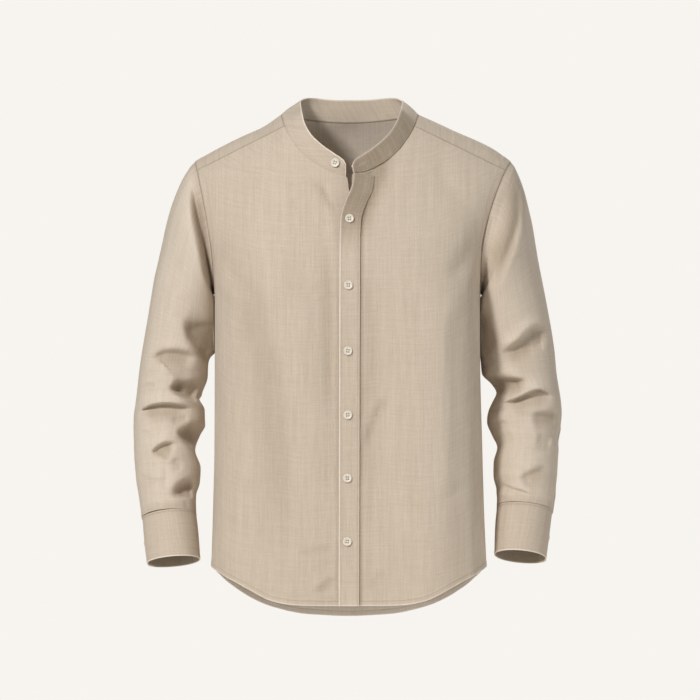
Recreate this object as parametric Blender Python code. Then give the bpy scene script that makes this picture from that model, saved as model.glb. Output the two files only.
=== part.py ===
"""Collarless band-collar shirt, filled out and hollow, with no wearer.

Metres, +Z up, front at -Y. The wearer's left is +X. The origin is where the
wearer holds it: the middle of the neck, level with the shoulder seams there.
Every cloth piece is a thin wall. Its outer points come from the functions
below, and its inner points lie one wall further in.
"""
import math
from collections import namedtuple

import bmesh
import bpy
import numpy as np

WALL = 0.0012            # one layer of cloth, drawn at the thinnest solid wall
BAND_WALL = 0.0018       # neckband and cuffs are two layers and an interlining
GAP = 0.0003             # between pieces that touch
INNER_TRIM = 0.0007      # inner edges stop this much further from a seam
PLACKET_WIDTH = 0.030
LAP_LIFT = WALL + 2 * GAP    # left front lies this far outside the right front
FLAP_LIFT = 0.0110           # and its free top corner stands further out
FLAP_FOOT = -0.2000
FLAP_RISE = 0.1000
BUTTON_RADIUS = 0.0064
BUTTON_THICK = 0.0028

LEFT, RIGHT = 1, -1      # the wearer's, as the sign of X
AROUND = 24              # points round a sleeve, and so round an armhole
FRONT_SEAM_STEP = 2      # armhole steps from the shoulder point to the yoke's seams
BACK_SEAM_STEP = 4

Ring = namedtuple("Ring", "height left right front back form back_form")
TORSO = [
    # half widths to each side, then the depth and the squareness of front and back
    Ring(0.0100, 0.0760, 0.0700, 0.030, 0.030, 1.60, 1.60),
    Ring(0.0030, 0.1040, 0.0990, 0.047, 0.047, 1.60, 1.60),
    Ring(-0.0095, 0.1310, 0.1140, 0.058, 0.063, 1.60, 1.60),
    Ring(-0.0204, 0.1533, 0.1343, 0.065, 0.073, 1.60, 1.60),
    Ring(-0.0321, 0.1796, 0.1606, 0.071, 0.082, 1.65, 1.65),
    Ring(-0.0438, 0.2040, 0.1825, 0.076, 0.090, 1.70, 1.70),
    Ring(-0.0555, 0.2235, 0.2044, 0.081, 0.097, 1.75, 1.75),
    Ring(-0.0670, 0.2375, 0.2235, 0.085, 0.102, 1.80, 1.80),
    Ring(-0.0876, 0.2350, 0.2200, 0.091, 0.109, 2.10, 1.95),
    Ring(-0.1200, 0.2250, 0.2150, 0.106, 0.118, 2.45, 2.10),
    Ring(-0.1600, 0.2150, 0.2080, 0.123, 0.125, 2.95, 2.30),
    Ring(-0.2000, 0.2000, 0.2000, 0.136, 0.129, 3.40, 2.50),
    Ring(-0.2600, 0.1930, 0.1948, 0.145, 0.131, 3.75, 2.60),
    Ring(-0.3500, 0.1930, 0.1946, 0.148, 0.130, 3.90, 2.60),
    Ring(-0.4800, 0.1960, 0.1950, 0.148, 0.130, 3.90, 2.60),
    Ring(-0.5700, 0.1985, 0.1970, 0.151, 0.134, 3.90, 2.60),
    Ring(-0.6560, 0.2020, 0.1995, 0.154, 0.138, 3.90, 2.60),
    Ring(-0.7400, 0.2050, 0.2020, 0.156, 0.141, 3.90, 2.60),
]

ARMHOLE_TOP = -0.0670
ARMHOLE_BOTTOM = -0.2600
TURN_FORM = 2.4          # spreads the columns over a ring's width

Armhole = namedtuple("Armhole", "top bottom scoop front back")
ARMHOLES = {
    LEFT: Armhole(0.2375, 0.1930, 0.0080, 0.066, 0.068),
    RIGHT: Armhole(0.2235, 0.1948, 0.0010, 0.066, 0.068),
}

Neck = namedtuple("Neck", "height left right top_x_left top_x_right top_z_left top_z_right")
NECKLINE = [
    # the seam's height and half widths, then the band's top edge beside it
    Neck(-0.0885, 0.0095, 0.0035, 0.0058, 0.0030, -0.0740, -0.0710),
    Neck(-0.0845, 0.0220, 0.0165, 0.0100, 0.0062, -0.0645, -0.0650),
    Neck(-0.0770, 0.0375, 0.0345, 0.0235, 0.0200, -0.0560, -0.0550),
    Neck(-0.0650, 0.0575, 0.0545, 0.0395, 0.0365, -0.0445, -0.0435),
    Neck(-0.0480, 0.0760, 0.0730, 0.0570, 0.0525, -0.0290, -0.0285),
    Neck(-0.0300, 0.0890, 0.0855, 0.0690, 0.0625, -0.0120, -0.0120),
    Neck(-0.0146, 0.0970, 0.0925, 0.0760, 0.0670, 0.0050, 0.0050),
]
NECK_SIDE = {LEFT: 0.1030, RIGHT: 0.0980}
NECK_SIDE_HEIGHT = 0.0025
NECK_BACK_DEPTH = 0.0630
NECK_BACK_HEIGHT = -0.0095
BAND_TOP_SIDE = {LEFT: 0.0795, RIGHT: 0.0695}
BAND_TOP_HEIGHT = 0.0270
BAND_TOP_BACK = 0.0600
BAND_SIDE_DROP = 0.0050  # the band's top edge is lower at the sides of the neck
BAND_BACK_DIP = 0.0030
BAND_LEAN = {LEFT: -0.0090, RIGHT: -0.0020}  # its front top edge lies this far behind the seam
BAND_SIDE_LEAN = 0.0070

Edge = namedtuple("Edge", "height left right")
FRONT_EDGES = [
    # the two centre front edges: the placket's fold, and the edge that it covers
    Edge(-0.0885, 0.0078, -0.0030),
    Edge(-0.1000, 0.0072, -0.0005),
    Edge(-0.1120, 0.0038, 0.0022),
    Edge(-0.1250, -0.0022, 0.0068),
    Edge(-0.1380, -0.0076, 0.0115),
    Edge(-0.1540, -0.0111, 0.0150),
    Edge(-0.1800, -0.0121, 0.0164),
    Edge(-0.3000, -0.0127, 0.0165),
    Edge(-0.7400, -0.0137, 0.0165),
]

Hem = namedtuple("Hem", "reach front back")
HEM = [
    # heights of the shirt-tail hem by the share of the half width
    Hem(0.00, -0.7140, -0.7315),
    Hem(0.30, -0.7134, -0.7285),
    Hem(0.45, -0.7112, -0.7230),
    Hem(0.57, -0.7055, -0.7165),
    Hem(0.70, -0.6920, -0.7050),
    Hem(0.82, -0.6790, -0.6900),
    Hem(0.92, -0.6680, -0.6735),
    Hem(1.00, -0.6575, -0.6575),
]

Drape = namedtuple("Drape", "x_top x_foot width depth top foot")
FRONT_DRAPES = [
    # soft upright folds: a positive depth stands out, a negative one sinks in
    Drape(0.000, 0.000, 0.075, -0.0080, -0.12, -0.76),
    Drape(-0.160, -0.165, 0.022, 0.0035, -0.20, -0.76),
    Drape(-0.105, -0.125, 0.024, -0.0045, -0.16, -0.76),
    Drape(-0.060, -0.070, 0.020, 0.0035, -0.14, -0.76),
    Drape(-0.030, -0.034, 0.012, -0.0020, -0.22, -0.76),
    Drape(0.050, 0.058, 0.020, -0.0030, -0.15, -0.76),
    Drape(0.118, 0.125, 0.026, 0.0045, -0.13, -0.76),
    Drape(0.165, 0.160, 0.016, -0.0030, -0.25, -0.76),
]
BACK_DRAPES = [
    Drape(-0.120, -0.130, 0.026, 0.0050, -0.16, -0.78),
    Drape(-0.070, -0.062, 0.020, -0.0050, -0.14, -0.78),
    Drape(-0.010, -0.004, 0.024, 0.0045, -0.13, -0.78),
    Drape(0.052, 0.048, 0.020, -0.0050, -0.15, -0.78),
    Drape(0.115, 0.120, 0.028, 0.0050, -0.14, -0.78),
]

Section = namedtuple("Section", "outer_x outer_z inner_x inner_z middle depth pitch")
SLEEVES = {
    LEFT: [
        # the sleeve's outline from its cap to the cuff seam, its middle in Y,
        # its half depth and how far it tips forward in degrees
        Section(0.2430, -0.0740, 0.1950, -0.2615, 0.000, 0.070, 0),
        Section(0.2505, -0.0905, 0.1953, -0.2630, 0.000, 0.075, 0),
        Section(0.2577, -0.1110, 0.1956, -0.2650, 0.000, 0.079, 0),
        Section(0.2635, -0.1340, 0.1920, -0.2680, 0.001, 0.080, 0),
        Section(0.2694, -0.1600, 0.1890, -0.2725, 0.002, 0.079, 0),
        Section(0.2738, -0.1870, 0.1870, -0.2790, 0.004, 0.077, 0),
        Section(0.2782, -0.2130, 0.1860, -0.2870, 0.006, 0.074, 0),
        Section(0.2833, -0.2390, 0.1860, -0.2970, 0.008, 0.071, 0),
        Section(0.2884, -0.2650, 0.1860, -0.3090, 0.010, 0.068, 0),
        Section(0.2935, -0.2920, 0.1865, -0.3240, 0.012, 0.065, 0),
        Section(0.2986, -0.3210, 0.1890, -0.3420, 0.013, 0.063, 1),
        Section(0.3022, -0.3480, 0.1938, -0.3600, 0.014, 0.061, 2),
        Section(0.3044, -0.3730, 0.1950, -0.3770, 0.014, 0.060, 4),
        Section(0.3075, -0.3940, 0.2090, -0.3940, 0.013, 0.059, 6),
        Section(0.3100, -0.4090, 0.2160, -0.4060, 0.011, 0.058, 8),
        Section(0.3115, -0.4220, 0.2110, -0.4190, 0.008, 0.058, 10),
        Section(0.3122, -0.4350, 0.2045, -0.4330, 0.005, 0.057, 11),
        Section(0.3108, -0.4510, 0.2030, -0.4470, 0.001, 0.056, 12),
        Section(0.3082, -0.4660, 0.2100, -0.4650, -0.003, 0.055, 12),
        Section(0.3064, -0.4850, 0.2178, -0.4840, -0.008, 0.053, 13),
        Section(0.3056, -0.5060, 0.2125, -0.5060, -0.013, 0.051, 13),
        Section(0.3042, -0.5280, 0.2120, -0.5270, -0.018, 0.048, 13),
        Section(0.3026, -0.5460, 0.2165, -0.5450, -0.022, 0.046, 14),
        Section(0.3006, -0.5620, 0.2175, -0.5590, -0.026, 0.043, 14),
        Section(0.2982, -0.5770, 0.2170, -0.5690, -0.029, 0.041, 14),
    ],
    RIGHT: [
        Section(0.2305, -0.0745, 0.1965, -0.2615, 0.000, 0.070, 0),
        Section(0.2405, -0.0905, 0.1968, -0.2630, 0.000, 0.075, 0),
        Section(0.2500, -0.1110, 0.1970, -0.2650, 0.000, 0.079, 0),
        Section(0.2585, -0.1340, 0.1934, -0.2680, 0.001, 0.080, 0),
        Section(0.2657, -0.1600, 0.1904, -0.2725, 0.002, 0.079, 0),
        Section(0.2715, -0.1870, 0.1884, -0.2790, 0.004, 0.077, 0),
        Section(0.2774, -0.2130, 0.1874, -0.2870, 0.006, 0.074, 0),
        Section(0.2833, -0.2390, 0.1874, -0.2970, 0.008, 0.071, 0),
        Section(0.2876, -0.2650, 0.1874, -0.3090, 0.010, 0.068, 0),
        Section(0.2920, -0.2920, 0.1879, -0.3240, 0.012, 0.065, 0),
        Section(0.2970, -0.3210, 0.1915, -0.3420, 0.013, 0.063, 1),
        Section(0.3015, -0.3480, 0.2010, -0.3560, 0.014, 0.061, 2),
        Section(0.3050, -0.3730, 0.2045, -0.3730, 0.014, 0.060, 4),
        Section(0.3073, -0.3940, 0.2075, -0.3900, 0.013, 0.059, 6),
        Section(0.3090, -0.4090, 0.2130, -0.4050, 0.011, 0.058, 8),
        Section(0.3110, -0.4240, 0.2170, -0.4140, 0.008, 0.058, 10),
        Section(0.3130, -0.4400, 0.2090, -0.4300, 0.005, 0.057, 11),
        Section(0.3132, -0.4560, 0.2085, -0.4480, 0.001, 0.056, 12),
        Section(0.3126, -0.4720, 0.2160, -0.4660, -0.003, 0.055, 12),
        Section(0.3122, -0.4890, 0.2232, -0.4880, -0.008, 0.053, 13),
        Section(0.3110, -0.5080, 0.2150, -0.5140, -0.013, 0.051, 13),
        Section(0.3090, -0.5280, 0.2160, -0.5340, -0.018, 0.048, 13),
        Section(0.3058, -0.5470, 0.2215, -0.5530, -0.022, 0.046, 14),
        Section(0.3030, -0.5660, 0.2220, -0.5660, -0.026, 0.043, 14),
        Section(0.3005, -0.5860, 0.2215, -0.5780, -0.029, 0.041, 14),
    ],
}
CUFFS = {
    LEFT: [
        Section(0.3002, -0.5775, 0.2150, -0.5695, -0.0292, 0.0425, 14),
        Section(0.2962, -0.6100, 0.2118, -0.6040, -0.0370, 0.0415, 14),
        Section(0.2914, -0.6460, 0.2110, -0.6395, -0.0460, 0.0410, 14),
    ],
    RIGHT: [
        Section(0.3022, -0.5868, 0.2192, -0.5788, -0.0292, 0.0425, 13),
        Section(0.2997, -0.6200, 0.2152, -0.6130, -0.0370, 0.0415, 13),
        Section(0.2955, -0.6530, 0.2130, -0.6465, -0.0460, 0.0410, 12),
    ],
}

Fold = namedtuple("Fold", "height slope angle span width depth lip hang")
FOLDS = {
    # a crease crosses the sleeve at a height and an angle round it: 0 is the
    # outer side, 90 the front, 180 the inner side and 270 the back
    LEFT: [
        Fold(-0.3360, -0.045, 120, 70, 0.014, 0.0080, 0.003, 0.000),
        Fold(-0.3850, 0.010, 120, 60, 0.011, 0.0085, 0.004, 0.001),
        Fold(-0.4130, -0.012, 90, 75, 0.009, 0.0100, 0.006, 0.006),
        Fold(-0.4400, 0.004, 45, 60, 0.009, 0.0050, 0.003, 0.001),
        Fold(-0.4680, 0.010, 20, 65, 0.009, 0.0045, 0.003, 0.001),
        Fold(-0.5420, 0.012, 140, 70, 0.010, 0.0065, 0.004, 0.003),
        Fold(-0.3700, 0.020, 230, 70, 0.013, 0.0080, 0.004, 0.001),
        Fold(-0.4150, -0.010, 245, 80, 0.010, 0.0085, 0.005, 0.004),
        Fold(-0.4750, 0.015, 255, 75, 0.011, 0.0065, 0.004, 0.002),
        Fold(-0.5250, -0.012, 290, 70, 0.010, 0.0050, 0.003, 0.001),
    ],
    RIGHT: [
        Fold(-0.3050, -0.060, 135, 55, 0.018, 0.0070, 0.003, 0.000),
        Fold(-0.3520, 0.004, 70, 45, 0.012, 0.0055, 0.003, 0.000),
        Fold(-0.3960, 0.006, 125, 60, 0.010, 0.0100, 0.006, 0.004),
        Fold(-0.4280, -0.006, 70, 75, 0.009, 0.0100, 0.006, 0.006),
        Fold(-0.4680, 0.004, 140, 55, 0.010, 0.0070, 0.004, 0.001),
        Fold(-0.4850, 0.018, 60, 60, 0.009, 0.0050, 0.004, 0.003),
        Fold(-0.5450, 0.008, 130, 60, 0.010, 0.0065, 0.004, 0.002),
        Fold(-0.3750, -0.018, 235, 75, 0.012, 0.0080, 0.004, 0.001),
        Fold(-0.4200, 0.012, 250, 80, 0.010, 0.0085, 0.005, 0.004),
        Fold(-0.4900, -0.010, 260, 75, 0.011, 0.0065, 0.004, 0.002),
    ],
}
CAP_VALLEY = {LEFT: 0.006, RIGHT: 0.011}      # hollow beside the front armhole seam
FOLDS_FROM = 8           # the section where the sleeve's creases begin
FOLDS_FULL = 12
FOLDS_FADE = 1.5         # sections above the cuff over which they fade out
CUFF_OPENING = 318       # degrees round the cuff where its overlapping end lies
CUFF_OVERLAP = 22
CUFF_LAP_FROM = 0.80     # share of the strip where it starts to rise over its own start
CUFF_LAP_EASE = 0.14
SLEEVE_CLEARANCE = 0.0010
SLEEVE_PLACKET_LENGTH = 0.125

Button = namedtuple("Button", "name x height")
BUTTONS = [
    Button("button_2", 0.0018, -0.1504),
    Button("button_3", 0.0004, -0.2472),
    Button("button_4", -0.0002, -0.3427),
    Button("button_5", -0.0004, -0.4358),
    Button("button_6", -0.0010, -0.5279),
    Button("button_7", -0.0012, -0.6202),
]
BAND_BUTTON_X = -0.0185
BUTTON_PROFILE = [
    # shares of the radius and of the thickness, from the dished face to the back
    (0.0, 0.55), (0.62, 0.55), (0.80, 0.95), (0.93, 1.0),
    (1.0, 0.72), (0.92, 0.2), (0.6, 0.0), (0.0, 0.0),
]
BUTTON_SIDES = 16

LINEN = (0.600, 0.510, 0.408)
BUTTON_IVORY = (0.780, 0.720, 0.620)

HEM_ROWS = 13
FRONT_CHEST_ROWS = AROUND // 2 - 3
FRONT_LEVEL = -0.27      # the centre front's height in the row that ends at the underarm
CENTRE_REACH = 0.06      # where the front hem's height is read for the centre edge
BELOW_YOKE_ROWS = AROUND // 2 - BACK_SEAM_STEP
SHOULDER_ROWS = 5
FRONT_COLUMNS = 10
BACK_COLUMNS = 22
YOKE_ROWS = 5
YOKE_CORNER_ANGLE = 0.36     # where on the neckline the columns to the back corners end
YOKE_END_SHARE = 0.62
YOKE_SMOOTHING = 24
CORNER_SPREAD = 1.6      # columns to each side of a back corner that are evened out
BAND_ROWS = 3
SLEEVE_ROWS = 36
CUFF_ROWS = 3


def curve(keys, values, at):
    """A smooth line through a table's values that never overshoots them."""
    keys = np.asarray(keys, float)
    values = np.asarray(values, float)
    if keys[0] > keys[-1]:
        keys = keys[::-1]
        values = values[::-1]
    step = np.diff(keys)
    slope = np.diff(values) / step
    tangent = np.empty_like(values)
    tangent[0] = slope[0]
    tangent[-1] = slope[-1]
    same = slope[:-1] * slope[1:] > 0
    both = np.where(same, slope[:-1] + slope[1:], 1.0)
    tangent[1:-1] = np.where(same, 2 * slope[:-1] * slope[1:] / both, 0.0)
    at = np.clip(np.asarray(at, float), keys[0], keys[-1])
    low = np.clip(np.searchsorted(keys, at, side="right") - 1, 0, len(step) - 1)
    share = (at - keys[low]) / step[low]
    rise = tangent[low] * step[low]
    fall = tangent[low + 1] * step[low]
    change = values[low + 1] - values[low]
    bend = 3 * change - 2 * rise - fall
    twist = rise + fall - 2 * change
    return values[low] + share * (rise + share * (bend + share * twist))


def column(table, name, at, key="height"):
    return curve([getattr(row, key) for row in table],
                 [getattr(row, name) for row in table], at)


def side_name(side):
    return "left" if side == LEFT else "right"


def ease(share):
    share = np.clip(share, 0.0, 1.0)
    return share * share * (3 - 2 * share)


def armhole_point(side, angle):
    """A point of the armhole seam: 0 at the shoulder, pi at the underarm,
    positive round the front and negative round the back."""
    hole = ARMHOLES[side]
    middle = (ARMHOLE_TOP + ARMHOLE_BOTTOM) / 2
    reach = (ARMHOLE_TOP - ARMHOLE_BOTTOM) / 2
    height = middle + reach * np.cos(angle)
    swing = np.abs(np.sin(angle))
    out = hole.bottom + (hole.top - hole.bottom) * ((1 + np.cos(angle)) / 2) ** 1.5
    out = out - hole.scoop * swing ** 1.3 * ease(2 - np.abs(angle) * 2 / math.pi)
    depth = np.where(np.sin(angle) > 0, -hole.front * swing, hole.back * swing)
    return np.stack([side * out, depth, height], -1)


def armhole_angle(step):
    return step * 2 * math.pi / AROUND


def depth_at(height, back):
    return column(TORSO, "back" if back else "front", height)


def form_at(height, back):
    return column(TORSO, "back_form" if back else "form", height)


def half_width(side, height, back):
    """The torso's half width. Beside an armhole it is what carries the ring
    through the armhole's edge."""
    height = np.asarray(height, float)
    plain = column(TORSO, side_name(side), height)
    middle = (ARMHOLE_TOP + ARMHOLE_BOTTOM) / 2
    reach = (ARMHOLE_TOP - ARMHOLE_BOTTOM) / 2
    inside = np.clip((height - middle) / reach, -1, 1)
    angle = np.arccos(inside)
    edge = armhole_point(side, -angle if back else angle)
    form = form_at(height, back)
    share = np.abs(edge[..., 1]) / depth_at(height, back)
    carried = np.abs(edge[..., 0]) / (1 - share ** form) ** (1 / form)
    within = (height < ARMHOLE_TOP) & (height > ARMHOLE_BOTTOM)
    return np.where(within, carried, plain)


def turn_at(x, height, back=False):
    """How far round its ring a point lies: 0 at the centre, 1 at the side."""
    x = np.asarray(x, float)
    width = np.where(x >= 0, half_width(LEFT, height, back), half_width(RIGHT, height, back))
    share = np.clip(np.abs(x) / width, 0, 1) ** (TURN_FORM / 2)
    return np.sign(x) * np.arcsin(share) * 2 / math.pi


def drape(drapes, x, height):
    """The depth of the upright folds at a place on the front or the back."""
    total = np.zeros_like(x)
    for fold in drapes:
        along = np.clip((height - fold.top) / (fold.foot - fold.top), 0, 1)
        middle = fold.x_top + (fold.x_foot - fold.x_top) * along
        total += fold.depth * ease(along * 2.5) * np.exp(-((x - middle) / fold.width) ** 2)
    return total


def torso_point(turn, height, back=False):
    turn = np.asarray(turn, float)
    height = np.broadcast_to(np.asarray(height, float), turn.shape)
    width = np.where(turn >= 0, half_width(LEFT, height, back), half_width(RIGHT, height, back))
    form = form_at(height, back)
    angle = np.abs(turn) * math.pi / 2
    reach = np.minimum(np.sin(angle) ** (2 / TURN_FORM), 1.0)
    x = np.sign(turn) * width * reach
    depth = depth_at(height, back) * (1 - reach ** form) ** (1 / form)
    folds = drape(BACK_DRAPES if back else FRONT_DRAPES, x, height)
    depth = depth + folds * np.cos(angle)
    return np.stack([x, depth if back else -depth, height], -1)


def shoulder_height(x, y):
    """The height of the torso's surface over a point in plan."""
    high = np.full(x.shape, 0.010)
    low = np.full(x.shape, -0.16)
    for _ in range(40):
        middle = (high + low) / 2
        back = y > 0
        form = np.where(back, form_at(middle, True), form_at(middle, False))
        width_left = np.where(back, half_width(LEFT, middle, True), half_width(LEFT, middle, False))
        width_right = np.where(back, half_width(RIGHT, middle, True), half_width(RIGHT, middle, False))
        width = np.where(x >= 0, width_left, width_right)
        depth = np.where(back, depth_at(middle, True), depth_at(middle, False))
        outside = (np.abs(x) / width) ** form + (np.abs(y) / depth) ** form > 1
        high = np.where(outside, middle, high)
        low = np.where(outside, low, middle)
    return (high + low) / 2


def neck_front(side, height):
    x = side * column(NECKLINE, side_name(side), height)
    return torso_point(turn_at(x, height), height)


def neck_back(angle):
    """The neckline over the yoke: 0 at the wearer's left, pi/2 at the centre back."""
    side = np.where(np.cos(angle) >= 0, LEFT, RIGHT)
    reach = np.where(side == LEFT, NECK_SIDE[LEFT], NECK_SIDE[RIGHT])
    x = reach * np.sign(np.cos(angle)) * np.abs(np.cos(angle)) ** 0.95
    y = NECK_BACK_DEPTH * np.sin(angle) ** 0.95
    height = NECK_SIDE_HEIGHT + (NECK_BACK_HEIGHT - NECK_SIDE_HEIGHT) * np.sin(angle) ** 2
    return np.stack([x, y, height], -1)


def hem_height(reach, back):
    return column(HEM, "back" if back else "front", reach, key="reach")


def reach_at(turns):
    """The share of the half width at each turn of the lower body."""
    return np.sin(np.abs(turns) * math.pi / 2) ** (2 / TURN_FORM)


def normals(grid, wrap):
    """Unit normals of a grid of points, across its rows and up its columns."""
    if wrap:
        across = np.roll(grid, -1, 1) - np.roll(grid, 1, 1)
    else:
        across = np.gradient(grid, axis=1)
    along = np.gradient(grid, axis=0)
    facing = np.cross(across, along)
    size = np.linalg.norm(facing, axis=2, keepdims=True)
    for row in range(1, len(grid)):
        thin = size[row, :, 0] < 1e-9
        facing[row][thin] = facing[row - 1][thin]
        size[row][thin] = size[row - 1][thin]
    return facing / size


def pull(grid, distance, sides):
    """Moves the named border points of a grid into it, along the grid."""
    moved = grid.copy()
    rows = {"start": (0, 1), "end": (-1, -2)}
    for side in sides:
        kind, place = side.split("_")
        edge, inside = rows[place]
        if kind == "row":
            step = grid[inside] - grid[edge]
            size = np.maximum(np.linalg.norm(step, axis=1, keepdims=True), 1e-9)
            moved[edge] += step / size * np.minimum(distance, size / 3)
        else:
            step = grid[:, inside] - grid[:, edge]
            size = np.maximum(np.linalg.norm(step, axis=1, keepdims=True), 1e-9)
            moved[:, edge] += step / size * np.minimum(distance, size / 3)
    return moved


def shell(name, grid, wall, material, seams=(), wrap=False, facing=1, lift=0.0):
    """A closed wall: the grid is its outer side, and its seam edges stand back."""
    facing_out = normals(grid, wrap) * facing
    outer = pull(grid + facing_out * lift, GAP / 2, seams)
    inner = pull(grid + facing_out * (lift - wall), GAP / 2 + INNER_TRIM, seams)
    rows, columns = grid.shape[:2]
    mesh = bmesh.new()
    outside = [[mesh.verts.new(point) for point in row] for row in outer]
    inside = [[mesh.verts.new(point) for point in row] for row in inner]
    across = columns if wrap else columns - 1
    for row in range(rows - 1):
        for place in range(across):
            following = (place + 1) % columns
            corners = [(row, place), (row, following), (row + 1, following), (row + 1, place)]
            for half in (corners[:3], [corners[0], *corners[2:]]):
                mesh.faces.new([outside[r][c] for r, c in half])
                mesh.faces.new([inside[r][c] for r, c in reversed(half)])
    for place in range(across):
        following = (place + 1) % columns
        mesh.faces.new([outside[0][following], outside[0][place],
                        inside[0][place], inside[0][following]])
        mesh.faces.new([outside[-1][place], outside[-1][following],
                        inside[-1][following], inside[-1][place]])
    if not wrap:
        for row in range(rows - 1):
            mesh.faces.new([outside[row][0], outside[row + 1][0],
                            inside[row + 1][0], inside[row][0]])
            mesh.faces.new([outside[row + 1][-1], outside[row][-1],
                            inside[row][-1], inside[row + 1][-1]])
    return finish(name, mesh, material)


def finish(name, mesh, material):
    bmesh.ops.remove_doubles(mesh, verts=mesh.verts, dist=1e-6)
    bmesh.ops.dissolve_degenerate(mesh, dist=1e-7, edges=mesh.edges)
    bmesh.ops.recalc_face_normals(mesh, faces=mesh.faces)
    if mesh.calc_volume(signed=True) < 0:
        bmesh.ops.reverse_faces(mesh, faces=mesh.faces)
    data = bpy.data.meshes.new(name)
    mesh.to_mesh(data)
    mesh.free()
    data.shade_smooth()
    data.set_sharp_from_angle(angle=math.radians(50))
    data.materials.append(material)
    piece = bpy.data.objects.new(name, data)
    bpy.context.scene.collection.objects.link(piece)
    return piece


def make_material(name, colour, roughness):
    material = bpy.data.materials.new(name)
    material.use_nodes = True
    shader = material.node_tree.nodes["Principled BSDF"]
    shader.inputs["Base Color"].default_value = (*colour, 1.0)
    shader.inputs["Roughness"].default_value = roughness
    shader.inputs["Metallic"].default_value = 0.0
    return material


def yoke_seam_row(side, share):
    """The forward shoulder seam, from the armhole to the neckline."""
    armhole = armhole_point(side, armhole_angle(FRONT_SEAM_STEP))
    neck = neck_front(side, NECKLINE[-1].height)
    x = armhole[0] + (neck[0] - armhole[0]) * share
    height = armhole[2] + (neck[2] - armhole[2]) * share
    return torso_point(turn_at(x, height), height)


def front_rows():
    """For each row of a front: where it starts at the centre or the neckline,
    and where it ends at the side seam, the armhole or the yoke."""
    rows = []
    bottom = NECKLINE[0].height
    for row in range(HEM_ROWS):
        share = row / HEM_ROWS
        start = hem_height(CENTRE_REACH, False) * (1 - share) + FRONT_LEVEL * share
        end = hem_height(1.0, False) * (1 - share) + ARMHOLE_BOTTOM * share
        rows.append((start, end, "edge", "side", share))
    for step in range(FRONT_CHEST_ROWS + 1):
        share = step / FRONT_CHEST_ROWS
        angle = armhole_angle(AROUND // 2 - step)
        start = FRONT_LEVEL + (bottom - FRONT_LEVEL) * share
        rows.append((start, angle, "edge", "armhole", share))
    necks = [row.height for row in NECKLINE]
    rows.append((necks[1], armhole_angle(FRONT_SEAM_STEP), "neck", "armhole", 0))
    for step in range(1, SHOULDER_ROWS + 1):
        rows.append((necks[step + 1], step / SHOULDER_ROWS, "neck", "yoke", 0))
    return rows


def front_grid(side):
    grid = []
    for start, end, start_kind, end_kind, share in front_rows():
        if start_kind == "edge":
            first_x = column(FRONT_EDGES, side_name(side), start)
            first_turn = turn_at(first_x, start)
        else:
            point = neck_front(side, start)
            first_turn = turn_at(point[0], start)
            first_x = point[0]
        if end_kind == "side":
            last_turn, last_height = side, end
        elif end_kind == "armhole":
            point = armhole_point(side, end)
            last_height = point[2]
            last_turn = turn_at(point[0], last_height) if abs(end) < math.pi - 1e-6 else side
        else:
            point = yoke_seam_row(side, end)
            last_height = point[2]
            last_turn = turn_at(point[0], last_height)
        turns = column_turns(side, first_x, first_turn, last_turn, start)
        whole = turns[-1] - turns[0]
        spread = (turns - turns[0]) / whole if whole else np.zeros_like(turns)
        heights = start + (last_height - start) * spread
        if end_kind == "side":
            hem = hem_height(reach_at(turns), False)
            level = FRONT_LEVEL + (ARMHOLE_BOTTOM - FRONT_LEVEL) * spread
            heights = hem + (level - hem) * share
        points = torso_point(turns, heights)
        if start_kind == "neck":
            points[0] = neck_front(side, start)
        grid.append(points)
    grid = np.array(grid)
    return grid if side == LEFT else grid[:, ::-1]


def column_turns(side, first_x, first_turn, last_turn, height):
    """The columns of a front: two over the placket's width, the rest to the side."""
    spread = np.linspace(0, 1, FRONT_COLUMNS + 1)
    turns = first_turn + (last_turn - first_turn) * spread
    inward = side * PLACKET_WIDTH
    placket = turn_at(first_x + inward, height)
    half = turn_at(first_x + inward / 2, height)
    if abs(placket - first_turn) < abs(turns[2] - first_turn) * 1.6:
        spread = np.linspace(0, 1, FRONT_COLUMNS)
        rest = placket + (side - placket) * spread
        rest -= side * squeeze(spread, 1 - abs(last_turn))
        return np.concatenate([[first_turn, half], rest])
    return np.linspace(first_turn, last_turn, FRONT_COLUMNS + 2)


def squeeze(spread, short):
    """Where a row stops short of the side, its outer columns close up first."""
    power = min(max(0.6 / max(short, 0.01), 1.0), 4.0)
    return short * spread ** power


def lap_lift(grid):
    """The left front stands clear of the right front where it covers it."""
    x, height = grid[..., 0], grid[..., 2]
    covered = column(FRONT_EDGES, "right", height)
    lift = LAP_LIFT * ease(1 - (x - covered - 0.004) / 0.030)
    fold = column(FRONT_EDGES, "left", height)
    strip = np.clip(1 - (x - fold) / (PLACKET_WIDTH * 1.2), 0, 1) ** 1.2
    lift += FLAP_LIFT * strip * ease((height - FLAP_FOOT) / FLAP_RISE)
    return lift[..., None]


def back_grid():
    rows = []
    turns = np.linspace(1, -1, BACK_COLUMNS + 1)
    for row in range(HEM_ROWS):
        share = row / HEM_ROWS
        hem = hem_height(reach_at(turns), True)
        heights = hem + (ARMHOLE_BOTTOM - hem) * share
        rows.append(torso_point(turns, heights, back=True))
    for step in range(BELOW_YOKE_ROWS + 1):
        angle = -armhole_angle(AROUND // 2 - step)
        short = {}
        for side in (LEFT, RIGHT):
            end = armhole_point(side, angle)
            height = end[2]
            reached = side * float(turn_at(end[0], height, back=True)) if step else 1.0
            short[side] = side * squeeze(np.abs(turns), 1 - reached)
        turned = turns - np.where(turns > 0, short[LEFT], short[RIGHT])
        rows.append(torso_point(turned, height, back=True))
    return np.array(rows)


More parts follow.
